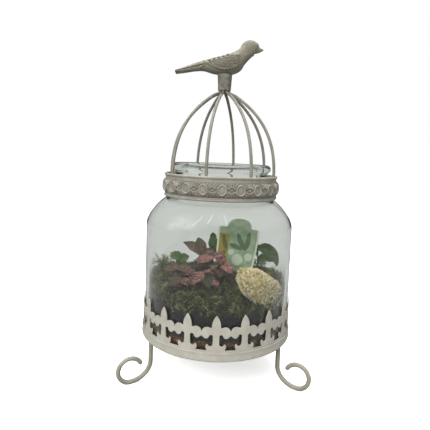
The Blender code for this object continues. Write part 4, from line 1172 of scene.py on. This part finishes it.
def make_tag(finish):
    """Plant label: a thin card with a soft arched tab, leaning, on a spike in the soil."""
    low, shoulder_z, top, tab = 98, 137.5, 148.3, 12.5
    wide, wide_low = 20.5, 19
    brow = shoulder_z - 2
    right = [(1.6, 72), (4, 78), (4, low - 5)]
    right += bezier((4, low - 5), (4, low - 2), (wide_low - 3, low), (wide_low, low + 2), 5)
    right += bezier((wide_low, low + 2), (wide - 0.2, low + 20), (wide, brow - 4), (wide, brow), 5)
    right += bezier((wide, brow), (wide, brow + 2), (wide - 1, brow + 2), (wide - 2, brow + 2), 4)
    right += bezier((tab + 2, brow + 2), (tab, brow + 2), (tab, brow + 4), (tab - 0.6, brow + 6), 4)
    right += bezier((tab - 0.6, shoulder_z + 4), (tab - 3, top - 1), (6, top), (0, top), 8) + [(0, top)]
    shape = Shape()
    steps = 24
    rows, places, rims = [], [], []
    for u, z in right:
        line = [2 * j / steps - 1 for j in range(steps + 1)]
        front = [Vector((u * s, -0.3, z)) for s in line]
        behind = [Vector((u * s, 0.3, z)) for s in line[::-1]]
        rows.append([p * MM for p in front + behind])
        place = [(u * s / wide, (z - low) / wide) for s in line]
        places.append(place + place[::-1])
        rims.append([abs(s) for s in line + line[::-1]])
    shape.grid(rows, places, rims, round_on=True, caps=True)
    pivot = Matrix.Translation((16 * MM, 7 * MM, low * MM))
    lean = pivot @ Matrix.Rotation(math.radians(6.5), 4, "Y") @ Matrix.Translation((0, 0, -low * MM))
    shape.points = [tuple(lean @ Vector(p)) for p in shape.points]
    return stand_for(show("plant_label", shape.mesh("plant label"), finish, 30), "tag_plastic", "plant_tag")


# Stage, lights and camera

BACKDROP = "#d8d8d5"
STRIP_LONG = 26


def make_stage():
    """A plain pale floor and white surround, in a soft room that only the object sees.

    The camera sees plain white, and rays through the glass see the even grey BACKDROP behind the jar. The
    soft lamps light but aren't mirrored, and three thin strips are the bright streaks on the shoulder.
    """
    made, tree, shader, where = new_finish("matt_white_floor", Roughness=0.9)
    rays = add(tree, "ShaderNodeLightPath").outputs
    depth = add(tree, "ShaderNodeSeparateXYZ", {"Vector": where}).outputs["Y"]
    front = ramp(tree, depth, -0.25, 0.05, 0.25, 1.0)
    through = calc(tree, rays["Is Transmission Ray"], front, "MULTIPLY")
    colour = blend(tree, through, "#777775", "#000000")
    tree.links.new(blend(tree, rays["Is Camera Ray"], colour, "#ffffff"), shader.inputs["Base Color"])
    light = blend(tree, through, "#000000", BACKDROP)
    tree.links.new(blend(tree, rays["Is Camera Ray"], light, "#bdbdbd"), shader.inputs["Emission Color"])
    shader.inputs["Emission Strength"].default_value = 1
    bpy.ops.mesh.primitive_circle_add(vertices=96, radius=4, fill_type="NGON", location=(0, 0, -0.0002))
    floor = bpy.context.object
    floor.name = "floor"
    floor.data.materials.append(made)

    world = bpy.data.worlds.new("studio")
    world.use_nodes = True
    bpy.context.scene.world = world
    tree = world.node_tree
    rays = add(tree, "ShaderNodeLightPath").outputs
    way = add(tree, "ShaderNodeTexCoord").outputs["Generated"]
    split = add(tree, "ShaderNodeSeparateXYZ", {"Vector": way}).outputs
    room = blend(tree, ramp(tree, split["Z"], 0.1, 0.8), "#6a6c6b", "#ffffff")
    room = blend(tree, ramp(tree, split["Y"], -0.5, -0.85), room, "#303131")
    cloud = add(tree, "ShaderNodeTexNoise", {"Vector": way, "Scale": 2.4, "Detail": 3.0}).outputs["Fac"]
    side = calc(tree, ramp(tree, split["X"], -0.4, -0.7), ramp(tree, split["Y"], 0.1, -0.2), "MULTIPLY")
    window = calc(tree, side, ramp(tree, cloud, 0.42, 0.6, 0.3, 1.0), "MULTIPLY")
    behind = calc(tree, rays["Is Transmission Ray"], ramp(tree, split["Y"], -0.4, -0.1), "MULTIPLY")
    room = blend(tree, behind, room, BACKDROP)
    colour = blend(tree, rays["Is Camera Ray"], room, "#ffffff")
    tree.links.new(colour, tree.nodes["Background"].inputs["Color"])
    bright = calc(tree, calc(tree, window, 2.5, "MULTIPLY"), 1.0)
    tree.links.new(bright, tree.nodes["Background"].inputs["Strength"])

    for name, place, size, power, mirrored in (
        ("top softbox", (0.05, 0.25, 1.1), 0.9, 15, False),
        ("front softbox", (-0.5, -1.0, 0.8), 0.7, 15, False),
        ("fill softbox", (0.7, -0.9, 0.3), 0.7, 4, False),
        ("strip one", (-0.27, -0.3, 0.6), 0.012, 0.03, True),
        ("strip two", (-0.11, -0.3, 0.64), 0.012, 0.03, True),
        ("strip three", (0.07, -0.3, 0.64), 0.012, 0.03, True),
    ):
        lamp = bpy.data.lights.new(name, "AREA")
        lamp.shape = "ELLIPSE"
        lamp.size = size
        lamp.size_y = size * (STRIP_LONG if mirrored else 1)
        lamp.energy = power
        item = bpy.data.objects.new(name, lamp)
        item.location = place
        item.rotation_euler = (Vector((0, 0, 0.15)) - Vector(place)).to_track_quat("-Z", "Y").to_euler()
        item.visible_glossy = mirrored
        item.visible_transmission = mirrored
        bpy.context.scene.collection.objects.link(item)
    bpy.context.scene.view_settings.view_transform = "Standard"


def make_camera():
    """The photograph's view: 406 mm in front of the jar's axis, 209 mm up, looking 6 degrees down."""
    focus, middle_x, middle_y, width = 420.5, 220.1, 201.7, 430
    pitch, roll = math.radians(6.3), math.radians(2.19)
    lens = bpy.data.cameras.new("camera")
    lens.sensor_width = 36
    lens.lens = focus / width * 36
    lens.shift_x = -(middle_x - width / 2) / width
    lens.shift_y = (middle_y - width / 2) / width
    forward = Vector((0, math.cos(pitch), -math.sin(pitch)))
    right = Vector((1, 0, 0))
    above = right.cross(forward)
    turned_right = right * math.cos(roll) + above * math.sin(roll)
    turned_up = above * math.cos(roll) - right * math.sin(roll)
    camera = bpy.data.objects.new("camera", lens)
    place = Matrix((turned_right, turned_up, -forward)).transposed().to_4x4()
    place.translation = AXIS + Vector((0, -405.7, 209.4)) * MM
    camera.matrix_world = place
    bpy.context.scene.collection.objects.link(camera)
    bpy.context.scene.camera = camera


ROUND = round_tree()
SCATTER = scatter_tree()
STAND_ENAMEL = aged_enamel("cream_sprayed_enamel", "#a6a297", "#b0ada2", "#868071", 0.3, 0.3)
# Painted shade: the legs carry the stand's cream set darker, for the dim light they get from below.
LEG_ENAMEL_SHADED = aged_enamel("cream_wire_enamel_shaded_darker", "#8b887b", "#969386", "#767163", 0.2, 0.2)
# The bird's near-black third colour is painted shade for its grooves and slots; it has no wear.
BIRD_ENAMEL = aged_enamel("rubbed_cast_enamel", "#6f6c5d", "#7e7b6e", "#2b281f", 0.0, 0.06)
LID_ENAMEL = aged_enamel("aged_stone_enamel", "#88847a", "#96938a", "#5a5548", 0.2, 0.2)
WIRE_ENAMEL = aged_enamel("aged_wire_enamel", "#78756a", "#86837a", "#504c3d", 0.15, 0.15)

make_tray(STAND_ENAMEL)
make_band(STAND_ENAMEL)
make_legs(LEG_ENAMEL_SHADED)
make_jar(moulded_glass())
make_collar(LID_ENAMEL)
make_cage(WIRE_ENAMEL)
make_ferrule(WIRE_ENAMEL)
make_bird(BIRD_ENAMEL)
make_grit(crumbled("brown_grit", ("#1d1209", "#5a3a1b", "#a87536", "#2e241b"), 3 * MM))
make_soil(crumbled("moist_potting_soil", ("#040507", "#0d0e12", "#303136", "#15120f"), 3 * MM, 0.5))
make_moss(crumbled("sheet_moss", ("#0b0d0a", "#363a22", "#93935a", "#4b3d2a"), 9 * MM, 0.5))
make_lichen(crumbled("dried_reindeer_moss", ("#a58d5c", "#f3e2b6", "#fffaec", "#f6e4b6"), 5 * MM, 0.8))
WAXY_GREEN = green_leaf("waxy_green_leaf", "#1d2c14", "#4b6430", 0.35)
make_stems(POLKA_STEMS, polka_leaf(), "pink_leaf", (0.1, 1.0), 9)
make_stems(GREEN_STEMS, WAXY_GREEN, "green_leaf", (0.2, 0.8), 3)
make_sprigs(green_leaf("wispy_fern_green", "#1f2914", "#55632f", 0.6))
make_tag(printed_card())
make_stage()
make_camera()
